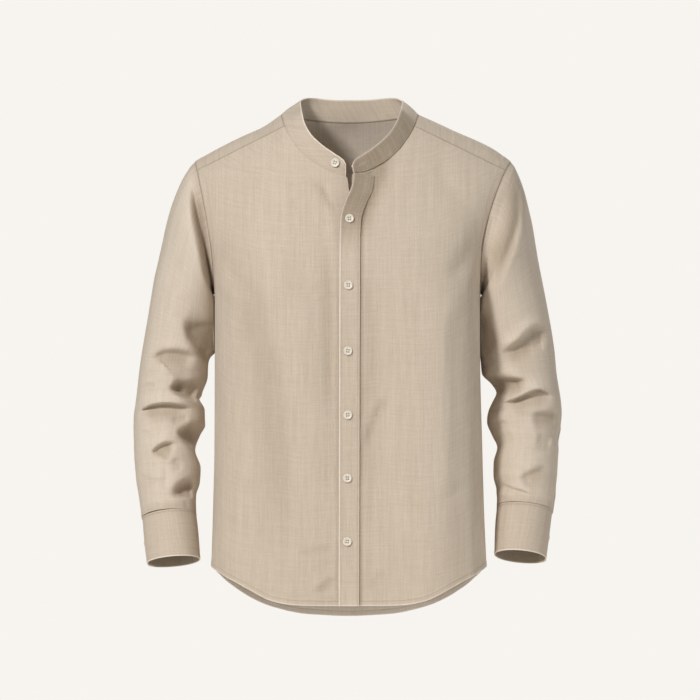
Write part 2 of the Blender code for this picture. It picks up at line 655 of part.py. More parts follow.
def yoke_grid(back):
    """Rows from the armholes and the back seam up to the neckline, and columns
    that fan out from the neck, from one front seam round to the other."""
    steps = range(FRONT_SEAM_STEP, -BACK_SEAM_STEP, -1)
    left = [armhole_point(LEFT, armhole_angle(step)) for step in steps]
    right = [armhole_point(RIGHT, armhole_angle(step)) for step in steps]
    outer = np.array(left + list(back[-1]) + right[::-1])
    total = len(outer)
    corner = len(left)
    angles = np.empty(total)
    first_corner = YOKE_CORNER_ANGLE
    last_corner = math.pi - YOKE_CORNER_ANGLE
    angles[:corner + 1] = np.linspace(0.0, first_corner, corner + 1)
    angles[corner:total - corner] = np.linspace(first_corner, last_corner, total - 2 * corner)
    angles[total - corner - 1:] = np.linspace(last_corner, math.pi, corner + 1)
    inner = neck_back(angles)
    for side, end, beside, angle in ((LEFT, 0, 1, 0.0), (RIGHT, -1, -2, math.pi)):
        inner[end] = neck_front(side, NECKLINE[-1].height)
        inner[beside] = inner[end] + (neck_back(np.array(angle)) - inner[end]) * YOKE_END_SHARE
    rows = [outer]
    for row in range(1, YOKE_ROWS):
        share = row / YOKE_ROWS
        plan = outer * (1 - share) + inner * share
        level = shoulder_height(plan[:, 0], plan[:, 1])
        points = np.stack([plan[:, 0], plan[:, 1], level], -1)
        settle = ease((share - 0.5) * 2)
        points[:, 2] += settle * (inner[:, 2] - shoulder_height(inner[:, 0], inner[:, 1]))
        settle = (1 - share) ** 2
        points[:, 2] += settle * (outer[:, 2] - shoulder_height(outer[:, 0], outer[:, 1]))
        for side, end in ((LEFT, 0), (RIGHT, total - 1)):
            points[end] = yoke_seam_row(side, share)
        rows.append(points)
    rows.append(inner)
    return smooth_corners(np.array(rows), corner)


def smooth_corners(grid, corner):
    """Evens out the columns that run to the yoke's two back corners."""
    places = np.arange(grid.shape[1])
    near = np.exp(-((places - corner) / CORNER_SPREAD) ** 2)
    weight = (near + near[::-1])[None, 1:-1, None] * 0.5
    for _ in range(YOKE_SMOOTHING):
        beside = (grid[1:-1, :-2] + grid[1:-1, 2:] + grid[:-2, 1:-1] + grid[2:, 1:-1]) / 4
        grid[1:-1, 1:-1] += (beside - grid[1:-1, 1:-1]) * weight
    return grid


def band_top(seam, from_end, side):
    """The band's top edge above one point of the neckline."""
    row = NECKLINE[min(from_end, len(NECKLINE) - 1)]
    front_x = row.top_x_left if side == LEFT else row.top_x_right
    front_height = row.top_z_left if side == LEFT else row.top_z_right
    lean = BAND_LEAN[side] * ease(0.35 + from_end / len(NECKLINE))
    front = np.array([side * front_x, seam[1] + lean, front_height])
    if from_end < len(NECKLINE):
        return front
    angle = max(math.atan2(seam[1] / NECK_BACK_DEPTH, abs(seam[0]) / NECK_SIDE[side]), 0.0)
    x = side * BAND_TOP_SIDE[side] * max(math.cos(angle), 0.0) ** 0.7
    y = BAND_TOP_BACK * math.sin(angle) ** 0.9 + BAND_SIDE_LEAN * math.cos(angle)
    height = BAND_TOP_HEIGHT - BAND_SIDE_DROP * (1 - ease(angle / 0.7))
    height -= BAND_BACK_DIP * ease((angle - 0.8) / 0.7)
    arc = np.array([x, y, height])
    if seam[1] >= 0:
        return arc
    return (front + arc) / 2


def band_grid(fronts, yoke):
    """The neckband stands on the neckline, from its left end round the back."""
    necks = len(NECKLINE)
    left = fronts[LEFT][-necks:, 0]
    right = fronts[RIGHT][-necks:, -1]
    line = list(left) + list(yoke[-1][1:-1]) + list(right[::-1])
    count = len(line)
    tops = [band_top(seam, min(place, count - 1 - place), LEFT if place < count / 2 else RIGHT)
            for place, seam in enumerate(line)]
    line = np.array(line)
    tops = np.array(tops)
    rows = []
    for row in range(BAND_ROWS + 1):
        share = row / BAND_ROWS
        points = line * (1 - share) + tops * share
        bulge = 0.0018 * math.sin(math.pi * share)
        points[:, 2] += bulge
        rows.append(points)
    return np.array(rows)


def section_ring(sections, places, place, side, angles):
    """One ring of a sleeve or a cuff, between its outer and its inner point."""
    values = {}
    for name in Section._fields:
        values[name] = float(curve(places, [getattr(row, name) for row in sections], place))
    section = Section(**values)
    outer = np.array([section.outer_x, section.outer_z])
    inner = np.array([section.inner_x, section.inner_z])
    middle = (outer + inner) / 2
    half = (outer - inner) / 2
    x = side * (middle[0] + half[0] * np.cos(angles))
    forward = np.sin(angles) * section.depth
    y = section.middle - forward
    z = middle[1] + half[1] * np.cos(angles) + forward * math.tan(math.radians(section.pitch))
    return np.stack([x, y, z], -1)


def fold_shift(side, angles, heights):
    """How far the creases push a sleeve's surface out, and how far down."""
    out = np.zeros(np.broadcast(angles, heights).shape)
    down = np.zeros_like(out)
    degrees = np.degrees(angles) % 360
    for fold in FOLDS[side]:
        away = (degrees - fold.angle + 180) % 360 - 180
        share = np.clip(np.abs(away) / fold.span, 0, 1)
        taper = (1 - share ** 2) ** 2
        middle = fold.height + fold.slope * np.radians(away) - 0.006 * share ** 2
        step = (heights - middle) / fold.width
        out -= taper * fold.depth * np.exp(-step ** 2)
        out += taper * fold.lip * np.exp(-((step + 1.5) / 0.9) ** 2)
        down -= taper * fold.hang * np.exp(-((step + 1.2) / 0.8) ** 2)
    return out, down


def clear_of_torso(side, points):
    """The upper arm lies flat along the torso's side, just clear of it."""
    x, y, height = points[..., 0], points[..., 1], points[..., 2]
    low = height < ARMHOLE_BOTTOM
    level = np.where(low, height, ARMHOLE_BOTTOM)
    back = y > 0
    width = np.where(back, half_width(side, level, True), half_width(side, level, False))
    depth = np.where(back, depth_at(level, True), depth_at(level, False))
    form = np.where(back, form_at(level, True), form_at(level, False))
    share = np.clip(np.abs(y) / depth, 0, 0.98)
    torso = width * (1 - share ** form) ** (1 / form) + SLEEVE_CLEARANCE
    moved = points.copy()
    moved[..., 0] = np.where(low, side * np.maximum(side * x, torso), x)
    return moved


def sleeve_grid(side):
    angles = np.array([armhole_angle(step) for step in range(AROUND)])
    hole = armhole_point(side, np.where(angles > math.pi, angles - 2 * math.pi, angles))
    sections = SLEEVES[side]
    places = np.arange(len(sections)) + 1.0
    fine = np.linspace(0, len(sections), SLEEVE_ROWS + 1)
    rows = [hole]
    for place in fine[1:]:
        ring = section_ring(sections, places, place, side, angles)
        if place < 1:
            ring = hole + (ring - hole) * place
        cap = math.exp(-((place - 0.9) / 1.1) ** 2)
        front = np.clip(np.sin(angles - 0.25), 0, 1) ** 1.5
        ring[:, 1] += CAP_VALLEY[side] * cap * front * min(place, 1.0)
        scoop = ARMHOLES[side].scoop * math.exp(-(place / 1.6) ** 2) * np.abs(np.sin(angles)) ** 1.3
        ring[:, 0] -= side * scoop * min(place, 1.0)
        rows.append(ring)
    grid = np.array(rows)
    facing = normals(grid, True) * side
    out, down = fold_shift(side, angles[None, :], grid[..., 2])
    start = ease((fine - FOLDS_FROM) / (FOLDS_FULL - FOLDS_FROM))[:, None]
    fade = ease((len(sections) - fine) / FOLDS_FADE)[:, None]
    out = out * start * fade
    down = down * start * fade
    grid = grid + facing * out[..., None]
    grid[..., 2] += down
    grid[1:] = clear_of_torso(side, grid[1:])
    return grid


def cuff_grid(side):
    """A cuff's strip goes once round and laps over its own start."""
    count = AROUND + 2
    angles = np.radians(np.linspace(CUFF_OPENING, CUFF_OPENING + 360 + CUFF_OVERLAP, count))
    lap = np.linspace(0, 1, count)
    sections = CUFFS[side]
    places = np.arange(len(sections), dtype=float)
    rows = []
    for place in np.linspace(0, len(sections) - 1, CUFF_ROWS + 1):
        ring = section_ring(sections, places, place, side, angles)
        ends = section_ring(sections, places, place, side, np.array([0.0, math.pi]))
        away = ring - ends.mean(0)
        size = np.linalg.norm(away, axis=1, keepdims=True)
        reach = (BAND_WALL + 2 * GAP) * (ease((lap - CUFF_LAP_FROM) / CUFF_LAP_EASE) - 1)
        rows.append(ring + away / size * reach[:, None])
    return np.array(rows)


def placket_grid(front):
    """The front placket lies on the left front's first three columns."""
    return front[:HEM_ROWS + FRONT_CHEST_ROWS + 1, :3]


def sleeve_placket_grid(side, sleeve):
    """A strip up the sleeve from the cuff's opening, made from the sleeve's points."""
    facing = normals(sleeve, True) * side
    column_place = CUFF_OPENING / 360 * AROUND
    rows = []
    last = len(sleeve) - 1
    bottom = sleeve[last, 0, 2]
    for row in range(last, 0, -1):
        if sleeve[row, 0, 2] - bottom > SLEEVE_PLACKET_LENGTH:
            break
        ring = sleeve[row] + facing[row] * (GAP + WALL)
        first = int(round(column_place)) % AROUND
        rows.append([ring[(first + step) % AROUND] for step in (0, 1, 2)])
    return np.array(rows[::-1])


def button(name, place, facing, material):
    """A rimmed button, turned about its own axis, with a dished face."""
    facing = facing / np.linalg.norm(facing)
    across = np.cross(facing, [0.0, 0.0, 1.0])
    across /= np.linalg.norm(across)
    upright = np.cross(across, facing)
    mesh = bmesh.new()
    rings = []
    for radius, rise in BUTTON_PROFILE:
        centre = place + facing * rise * BUTTON_THICK
        if radius == 0:
            rings.append([mesh.verts.new(centre)])
            continue
        ring = []
        for step in range(BUTTON_SIDES):
            angle = 2 * math.pi * step / BUTTON_SIDES
            spoke = across * math.cos(angle) + upright * math.sin(angle)
            ring.append(mesh.verts.new(centre + spoke * radius * BUTTON_RADIUS))
        rings.append(ring)
    for first, second in zip(rings, rings[1:]):
        for step in range(BUTTON_SIDES):
            following = (step + 1) % BUTTON_SIDES
            if len(first) == 1:
                mesh.faces.new([first[0], second[step], second[following]])
            elif len(second) == 1:
                mesh.faces.new([first[step], second[0], first[following]])
            else:
                mesh.faces.new([first[step], second[step], second[following], first[following]])
    return finish(name, mesh, material)


def nearest(grid, facing, x, height):
    """A grid's point and normal nearest to a place in the front view."""
    flat = grid.reshape(-1, 3)
    offsets = (flat[:, 0] - x) ** 2 + (flat[:, 2] - height) ** 2
    order = np.argsort(offsets)[:4]
    weight = 1 / (offsets[order] + 1e-8)
    weight /= weight.sum()
    near = facing.reshape(-1, 3)[order]
    normal = (near * weight[:, None]).sum(0)
    slope = (near[:, 0] * (x - flat[order, 0]) + near[:, 2] * (height - flat[order, 2])) / near[:, 1]
    depth = ((flat[order, 1] - slope) * weight).sum()
    return np.array([x, depth, height]), normal / np.linalg.norm(normal)


def main():
    for piece in list(bpy.data.objects):
        bpy.data.objects.remove(piece, do_unlink=True)
    cloth = {}

    def linen(name):
        cloth[name] = make_material(name + "_linen", LINEN, 0.9)
        return cloth[name]

    fronts = {side: front_grid(side) for side in (LEFT, RIGHT)}
    back = back_grid()
    yoke = yoke_grid(back)
    sleeves = {side: sleeve_grid(side) for side in (LEFT, RIGHT)}
    facing_left = normals(fronts[LEFT], False)
    left = fronts[LEFT] + facing_left * lap_lift(fronts[LEFT])
    shell("front_left", left, WALL, linen("front_left"), ("col_end", "row_end"))
    shell("front_right", fronts[RIGHT], WALL, linen("front_right"), ("col_start", "row_end"))
    shell("back", back, WALL, linen("back"), ("col_start", "col_end", "row_end"))
    shell("yoke", yoke, WALL, linen("yoke"), ("col_start", "col_end", "row_start", "row_end"))
    band = band_grid({LEFT: left, RIGHT: fronts[RIGHT]}, yoke)
    shell("neckband", band, BAND_WALL, linen("neckband"), ("row_start",))
    placket = placket_grid(left)
    shell("placket", placket, WALL, linen("placket"), lift=GAP + WALL)
    ivory = make_material("button_ivory", BUTTON_IVORY, 0.35)
    placket_facing = normals(placket, False)
    for row in BUTTONS:
        place, facing = nearest(placket, placket_facing, row.x, row.height)
        button(row.name, place + facing * (WALL + 3 * GAP), facing, ivory)
    band_facing = normals(band, False)
    end = (slice(1, 3), slice(-4, None))
    level = band[1:3, -3:-1, 2].mean()
    seat, facing = nearest(band[end], band_facing[end], BAND_BUTTON_X, level)
    button("button_1", seat + facing * 2 * GAP, facing, ivory)
    for side in (LEFT, RIGHT):
        name = side_name(side)
        sleeve = sleeves[side]
        cuff = cuff_grid(side)
        shell("sleeve_" + name, sleeve, WALL, linen("sleeve_" + name),
              ("row_start", "row_end"), wrap=True, facing=side)
        shell("cuff_" + name, cuff, BAND_WALL, linen("cuff_" + name),
              ("row_start",), facing=side)
        strip = sleeve_placket_grid(side, sleeve)
        shell("sleeve_placket_" + name, strip, WALL, linen("sleeve_placket_" + name), facing=side)
        cuff_facing = normals(cuff, False) * side
        spot = cuff[1:3, -2].mean(0)
        out = cuff_facing[1:3, -2].mean(0)
        button("cuff_button_" + name, spot + out * 2 * GAP, out, ivory)


main()
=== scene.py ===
"""Looks of the collarless shirt, on the frame that the solids make.

Metres, +Z up, front at -Y, the wearer's left at +X. The first tables and
functions repeat the ones that the solids are made with, and the later ones
fill them in with finer points, creases, hems, seams, stitches and buttons.
"""
import math
from collections import namedtuple

import bmesh
import bpy
import numpy as np
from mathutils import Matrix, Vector


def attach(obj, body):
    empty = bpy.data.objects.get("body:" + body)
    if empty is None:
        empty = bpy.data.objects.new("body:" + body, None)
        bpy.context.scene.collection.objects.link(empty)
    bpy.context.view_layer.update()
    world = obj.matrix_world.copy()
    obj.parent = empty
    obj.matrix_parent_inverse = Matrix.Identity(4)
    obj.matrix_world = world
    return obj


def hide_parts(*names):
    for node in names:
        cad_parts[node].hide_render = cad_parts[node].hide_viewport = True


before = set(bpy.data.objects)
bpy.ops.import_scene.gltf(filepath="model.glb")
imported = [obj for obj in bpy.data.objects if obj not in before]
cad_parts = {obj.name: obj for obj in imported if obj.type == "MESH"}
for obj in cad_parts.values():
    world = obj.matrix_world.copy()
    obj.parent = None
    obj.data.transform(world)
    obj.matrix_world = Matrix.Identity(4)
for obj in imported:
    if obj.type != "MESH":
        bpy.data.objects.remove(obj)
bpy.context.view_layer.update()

WALL = 0.0012
BAND_WALL = 0.0018
GAP = 0.0003
LOWEST_SHOULDER = -0.16  # the shoulder's surface is looked for between these heights
HIGHEST_SHOULDER = 0.010
PLACKET_WIDTH = 0.030
LAP_LIFT = WALL + 2 * GAP
LAP_CLEAR = 0.004        # how far past the right front's edge the left one stays lifted
LAP_FALL = 0.030         # and over which width it comes down
FLAP_LIFT = 0.0110
FLAP_FOOT = -0.2000
FLAP_RISE = 0.1000
BUTTON_RADIUS = 0.0064
BUTTON_THICK = 0.0028

LEFT, RIGHT = 1, -1      # the wearer's, as the sign of X
AROUND = 24              # points round a sleeve, and so round an armhole
FRONT_SEAM_STEP = 2      # armhole steps from the shoulder point to the yoke's seams
BACK_SEAM_STEP = 4

Ring = namedtuple("Ring", "height left right front back form back_form")
TORSO = [
    # half widths to each side, then the depth and the squareness of front and back
    Ring(0.0100, 0.0760, 0.0700, 0.030, 0.030, 1.60, 1.60),
    Ring(0.0030, 0.1040, 0.0990, 0.047, 0.047, 1.60, 1.60),
    Ring(-0.0095, 0.1310, 0.1140, 0.058, 0.063, 1.60, 1.60),
    Ring(-0.0204, 0.1533, 0.1343, 0.065, 0.073, 1.60, 1.60),
    Ring(-0.0321, 0.1796, 0.1606, 0.071, 0.082, 1.65, 1.65),
    Ring(-0.0438, 0.2040, 0.1825, 0.076, 0.090, 1.70, 1.70),
    Ring(-0.0555, 0.2235, 0.2044, 0.081, 0.097, 1.75, 1.75),
    Ring(-0.0670, 0.2375, 0.2235, 0.085, 0.102, 1.80, 1.80),
    Ring(-0.0876, 0.2350, 0.2200, 0.091, 0.109, 2.10, 1.95),
    Ring(-0.1200, 0.2250, 0.2150, 0.106, 0.118, 2.45, 2.10),
    Ring(-0.1600, 0.2150, 0.2080, 0.123, 0.125, 2.95, 2.30),
    Ring(-0.2000, 0.2000, 0.2000, 0.136, 0.129, 3.40, 2.50),
    Ring(-0.2600, 0.1930, 0.1948, 0.145, 0.131, 3.75, 2.60),
    Ring(-0.3500, 0.1930, 0.1946, 0.148, 0.130, 3.90, 2.60),
    Ring(-0.4800, 0.1960, 0.1950, 0.148, 0.130, 3.90, 2.60),
    Ring(-0.5700, 0.1985, 0.1970, 0.151, 0.134, 3.90, 2.60),
    Ring(-0.6560, 0.2020, 0.1995, 0.154, 0.138, 3.90, 2.60),
    Ring(-0.7400, 0.2050, 0.2020, 0.156, 0.141, 3.90, 2.60),
]

ARMHOLE_TOP = -0.0670
ARMHOLE_BOTTOM = -0.2600
TURN_FORM = 2.4          # spreads the columns over a ring's width

Armhole = namedtuple("Armhole", "top bottom scoop front back")
ARMHOLES = {
    LEFT: Armhole(0.2375, 0.1930, 0.0080, 0.066, 0.068),
    RIGHT: Armhole(0.2235, 0.1948, 0.0010, 0.066, 0.068),
}

Neck = namedtuple("Neck", "height left right top_x_left top_x_right top_z_left top_z_right")
NECKLINE = [
    # the seam's height and half widths, then the band's top edge beside it
    Neck(-0.0885, 0.0095, 0.0035, 0.0058, 0.0030, -0.0740, -0.0710),
    Neck(-0.0845, 0.0220, 0.0165, 0.0100, 0.0062, -0.0645, -0.0650),
    Neck(-0.0770, 0.0375, 0.0345, 0.0235, 0.0200, -0.0560, -0.0550),
    Neck(-0.0650, 0.0575, 0.0545, 0.0395, 0.0365, -0.0445, -0.0435),
    Neck(-0.0480, 0.0760, 0.0730, 0.0570, 0.0525, -0.0290, -0.0285),
    Neck(-0.0300, 0.0890, 0.0855, 0.0690, 0.0625, -0.0120, -0.0120),
    Neck(-0.0146, 0.0970, 0.0925, 0.0760, 0.0670, 0.0050, 0.0050),
]
NECK_SIDE = {LEFT: 0.1030, RIGHT: 0.0980}
NECK_SIDE_HEIGHT = 0.0025
NECK_BACK_DEPTH = 0.0630
NECK_BACK_HEIGHT = -0.0095
BAND_TOP_SIDE = {LEFT: 0.0795, RIGHT: 0.0695}
BAND_TOP_HEIGHT = 0.0270
BAND_TOP_BACK = 0.0600
BAND_SIDE_DROP = 0.0050  # the band's top edge is lower at the sides of the neck
BAND_BACK_DIP = 0.0030
BAND_LEAN = {LEFT: -0.0090, RIGHT: -0.0020}  # its front top edge lies this far behind the seam
BAND_SIDE_LEAN = 0.0070

Edge = namedtuple("Edge", "height left right")
FRONT_EDGES = [
    # the two centre front edges: the placket's fold, and the edge that it covers
    Edge(-0.0885, 0.0078, -0.0030),
    Edge(-0.1000, 0.0072, -0.0005),
    Edge(-0.1120, 0.0038, 0.0022),
    Edge(-0.1250, -0.0022, 0.0068),
    Edge(-0.1380, -0.0076, 0.0115),
    Edge(-0.1540, -0.0111, 0.0150),
    Edge(-0.1800, -0.0121, 0.0164),
    Edge(-0.3000, -0.0127, 0.0165),
    Edge(-0.7400, -0.0137, 0.0165),
]

Hem = namedtuple("Hem", "reach front back")
HEM = [
    # heights of the shirt-tail hem by the share of the half width
    Hem(0.00, -0.7140, -0.7315),
    Hem(0.30, -0.7134, -0.7285),
    Hem(0.45, -0.7112, -0.7230),
    Hem(0.57, -0.7055, -0.7165),
    Hem(0.70, -0.6920, -0.7050),
    Hem(0.82, -0.6790, -0.6900),
    Hem(0.92, -0.6680, -0.6735),
    Hem(1.00, -0.6575, -0.6575),
]

Drape = namedtuple("Drape", "x_top x_foot width depth top foot")
FRONT_DRAPES = [
    # soft upright folds: a positive depth stands out, a negative one sinks in
    Drape(0.000, 0.000, 0.075, -0.0080, -0.12, -0.76),
    Drape(-0.160, -0.165, 0.022, 0.0035, -0.20, -0.76),
    Drape(-0.105, -0.125, 0.024, -0.0045, -0.16, -0.76),
    Drape(-0.060, -0.070, 0.020, 0.0035, -0.14, -0.76),
    Drape(-0.030, -0.034, 0.012, -0.0020, -0.22, -0.76),
    Drape(0.050, 0.058, 0.020, -0.0030, -0.15, -0.76),
    Drape(0.118, 0.125, 0.026, 0.0045, -0.13, -0.76),
    Drape(0.165, 0.160, 0.016, -0.0030, -0.25, -0.76),
]
BACK_DRAPES = [
    Drape(-0.120, -0.130, 0.026, 0.0050, -0.16, -0.78),
    Drape(-0.070, -0.062, 0.020, -0.0050, -0.14, -0.78),
    Drape(-0.010, -0.004, 0.024, 0.0045, -0.13, -0.78),
    Drape(0.052, 0.048, 0.020, -0.0050, -0.15, -0.78),
    Drape(0.115, 0.120, 0.028, 0.0050, -0.14, -0.78),
]

Section = namedtuple("Section", "outer_x outer_z inner_x inner_z middle depth pitch")
SLEEVES = {
    LEFT: [
        # the sleeve's outline from its cap to the cuff seam, its middle in Y,
        # its half depth and how far it tips forward in degrees
        Section(0.2430, -0.0740, 0.1950, -0.2615, 0.000, 0.070, 0),
        Section(0.2505, -0.0905, 0.1953, -0.2630, 0.000, 0.075, 0),
        Section(0.2577, -0.1110, 0.1956, -0.2650, 0.000, 0.079, 0),
        Section(0.2635, -0.1340, 0.1920, -0.2680, 0.001, 0.080, 0),
        Section(0.2694, -0.1600, 0.1890, -0.2725, 0.002, 0.079, 0),
        Section(0.2738, -0.1870, 0.1870, -0.2790, 0.004, 0.077, 0),
        Section(0.2782, -0.2130, 0.1860, -0.2870, 0.006, 0.074, 0),
        Section(0.2833, -0.2390, 0.1860, -0.2970, 0.008, 0.071, 0),
        Section(0.2884, -0.2650, 0.1860, -0.3090, 0.010, 0.068, 0),
        Section(0.2935, -0.2920, 0.1865, -0.3240, 0.012, 0.065, 0),
        Section(0.2986, -0.3210, 0.1890, -0.3420, 0.013, 0.063, 1),
        Section(0.3022, -0.3480, 0.1938, -0.3600, 0.014, 0.061, 2),
        Section(0.3044, -0.3730, 0.1950, -0.3770, 0.014, 0.060, 4),
        Section(0.3075, -0.3940, 0.2090, -0.3940, 0.013, 0.059, 6),
        Section(0.3100, -0.4090, 0.2160, -0.4060, 0.011, 0.058, 8),
        Section(0.3115, -0.4220, 0.2110, -0.4190, 0.008, 0.058, 10),
        Section(0.3122, -0.4350, 0.2045, -0.4330, 0.005, 0.057, 11),
        Section(0.3108, -0.4510, 0.2030, -0.4470, 0.001, 0.056, 12),
        Section(0.3082, -0.4660, 0.2100, -0.4650, -0.003, 0.055, 12),
        Section(0.3064, -0.4850, 0.2178, -0.4840, -0.008, 0.053, 13),
        Section(0.3056, -0.5060, 0.2125, -0.5060, -0.013, 0.051, 13),
        Section(0.3042, -0.5280, 0.2120, -0.5270, -0.018, 0.048, 13),
        Section(0.3026, -0.5460, 0.2165, -0.5450, -0.022, 0.046, 14),
        Section(0.3006, -0.5620, 0.2175, -0.5590, -0.026, 0.043, 14),
        Section(0.2982, -0.5770, 0.2170, -0.5690, -0.029, 0.041, 14),
    ],
    RIGHT: [
        Section(0.2305, -0.0745, 0.1965, -0.2615, 0.000, 0.070, 0),
        Section(0.2405, -0.0905, 0.1968, -0.2630, 0.000, 0.075, 0),
        Section(0.2500, -0.1110, 0.1970, -0.2650, 0.000, 0.079, 0),
        Section(0.2585, -0.1340, 0.1934, -0.2680, 0.001, 0.080, 0),
        Section(0.2657, -0.1600, 0.1904, -0.2725, 0.002, 0.079, 0),
        Section(0.2715, -0.1870, 0.1884, -0.2790, 0.004, 0.077, 0),
        Section(0.2774, -0.2130, 0.1874, -0.2870, 0.006, 0.074, 0),
        Section(0.2833, -0.2390, 0.1874, -0.2970, 0.008, 0.071, 0),
        Section(0.2876, -0.2650, 0.1874, -0.3090, 0.010, 0.068, 0),
        Section(0.2920, -0.2920, 0.1879, -0.3240, 0.012, 0.065, 0),
        Section(0.2970, -0.3210, 0.1915, -0.3420, 0.013, 0.063, 1),
        Section(0.3015, -0.3480, 0.2010, -0.3560, 0.014, 0.061, 2),
        Section(0.3050, -0.3730, 0.2045, -0.3730, 0.014, 0.060, 4),
        Section(0.3073, -0.3940, 0.2075, -0.3900, 0.013, 0.059, 6),
        Section(0.3090, -0.4090, 0.2130, -0.4050, 0.011, 0.058, 8),
        Section(0.3110, -0.4240, 0.2170, -0.4140, 0.008, 0.058, 10),
        Section(0.3130, -0.4400, 0.2090, -0.4300, 0.005, 0.057, 11),
        Section(0.3132, -0.4560, 0.2085, -0.4480, 0.001, 0.056, 12),
        Section(0.3126, -0.4720, 0.2160, -0.4660, -0.003, 0.055, 12),
        Section(0.3122, -0.4890, 0.2232, -0.4880, -0.008, 0.053, 13),
        Section(0.3110, -0.5080, 0.2150, -0.5140, -0.013, 0.051, 13),
        Section(0.3090, -0.5280, 0.2160, -0.5340, -0.018, 0.048, 13),
        Section(0.3058, -0.5470, 0.2215, -0.5530, -0.022, 0.046, 14),
        Section(0.3030, -0.5660, 0.2220, -0.5660, -0.026, 0.043, 14),
        Section(0.3005, -0.5860, 0.2215, -0.5780, -0.029, 0.041, 14),
    ],
}
CUFFS = {
    LEFT: [
        Section(0.3002, -0.5775, 0.2150, -0.5695, -0.0292, 0.0425, 14),
        Section(0.2962, -0.6100, 0.2118, -0.6040, -0.0370, 0.0415, 14),
        Section(0.2914, -0.6460, 0.2110, -0.6395, -0.0460, 0.0410, 14),
    ],
    RIGHT: [
        Section(0.3022, -0.5868, 0.2192, -0.5788, -0.0292, 0.0425, 13),
        Section(0.2997, -0.6200, 0.2152, -0.6130, -0.0370, 0.0415, 13),
        Section(0.2955, -0.6530, 0.2130, -0.6465, -0.0460, 0.0410, 12),
    ],
}

Fold = namedtuple("Fold", "height slope angle span width depth lip hang")
FOLDS = {
    # a crease crosses the sleeve at a height and an angle round it: 0 is the
    # outer side, 90 the front, 180 the inner side and 270 the back
    LEFT: [
        Fold(-0.3360, -0.045, 120, 70, 0.014, 0.0080, 0.003, 0.000),
        Fold(-0.3850, 0.010, 120, 60, 0.011, 0.0085, 0.004, 0.001),
        Fold(-0.4130, -0.012, 90, 75, 0.009, 0.0100, 0.006, 0.006),
        Fold(-0.4400, 0.004, 45, 60, 0.009, 0.0050, 0.003, 0.001),
        Fold(-0.4680, 0.010, 20, 65, 0.009, 0.0045, 0.003, 0.001),
        Fold(-0.5420, 0.012, 140, 70, 0.010, 0.0065, 0.004, 0.003),
        Fold(-0.3700, 0.020, 230, 70, 0.013, 0.0080, 0.004, 0.001),
        Fold(-0.4150, -0.010, 245, 80, 0.010, 0.0085, 0.005, 0.004),
        Fold(-0.4750, 0.015, 255, 75, 0.011, 0.0065, 0.004, 0.002),
        Fold(-0.5250, -0.012, 290, 70, 0.010, 0.0050, 0.003, 0.001),
    ],
    RIGHT: [
        Fold(-0.3050, -0.060, 135, 55, 0.018, 0.0070, 0.003, 0.000),
        Fold(-0.3520, 0.004, 70, 45, 0.012, 0.0055, 0.003, 0.000),
        Fold(-0.3960, 0.006, 125, 60, 0.010, 0.0100, 0.006, 0.004),
        Fold(-0.4280, -0.006, 70, 75, 0.009, 0.0100, 0.006, 0.006),
        Fold(-0.4680, 0.004, 140, 55, 0.010, 0.0070, 0.004, 0.001),
        Fold(-0.4850, 0.018, 60, 60, 0.009, 0.0050, 0.004, 0.003),
        Fold(-0.5450, 0.008, 130, 60, 0.010, 0.0065, 0.004, 0.002),
        Fold(-0.3750, -0.018, 235, 75, 0.012, 0.0080, 0.004, 0.001),
        Fold(-0.4200, 0.012, 250, 80, 0.010, 0.0085, 0.005, 0.004),
        Fold(-0.4900, -0.010, 260, 75, 0.011, 0.0065, 0.004, 0.002),
    ],
}
CAP_VALLEY = {LEFT: 0.006, RIGHT: 0.011}      # hollow beside the front armhole seam
FOLDS_FROM = 8           # the section where the sleeve's creases begin
FOLDS_FULL = 12
FOLD_SAG = 0.006         # how far a crease's ends hang below its middle
FOLDS_FADE = 1.5         # sections above the cuff over which they fade out
CUFF_OPENING = 318       # degrees round the cuff where its overlapping end lies
CUFF_OVERLAP = 22
CUFF_LAP_FROM = 0.80     # share of the strip where it starts to rise over its own start
CUFF_LAP_EASE = 0.14
SLEEVE_CLEARANCE = 0.0010
SLEEVE_PLACKET_LENGTH = 0.125

Button = namedtuple("Button", "name x height")
BUTTONS = [
    Button("button_2", 0.0018, -0.1504),
    Button("button_3", 0.0004, -0.2472),
    Button("button_4", -0.0002, -0.3427),
    Button("button_5", -0.0004, -0.4358),
    Button("button_6", -0.0010, -0.5279),
    Button("button_7", -0.0012, -0.6202),
]
BAND_BUTTON_X = -0.0185

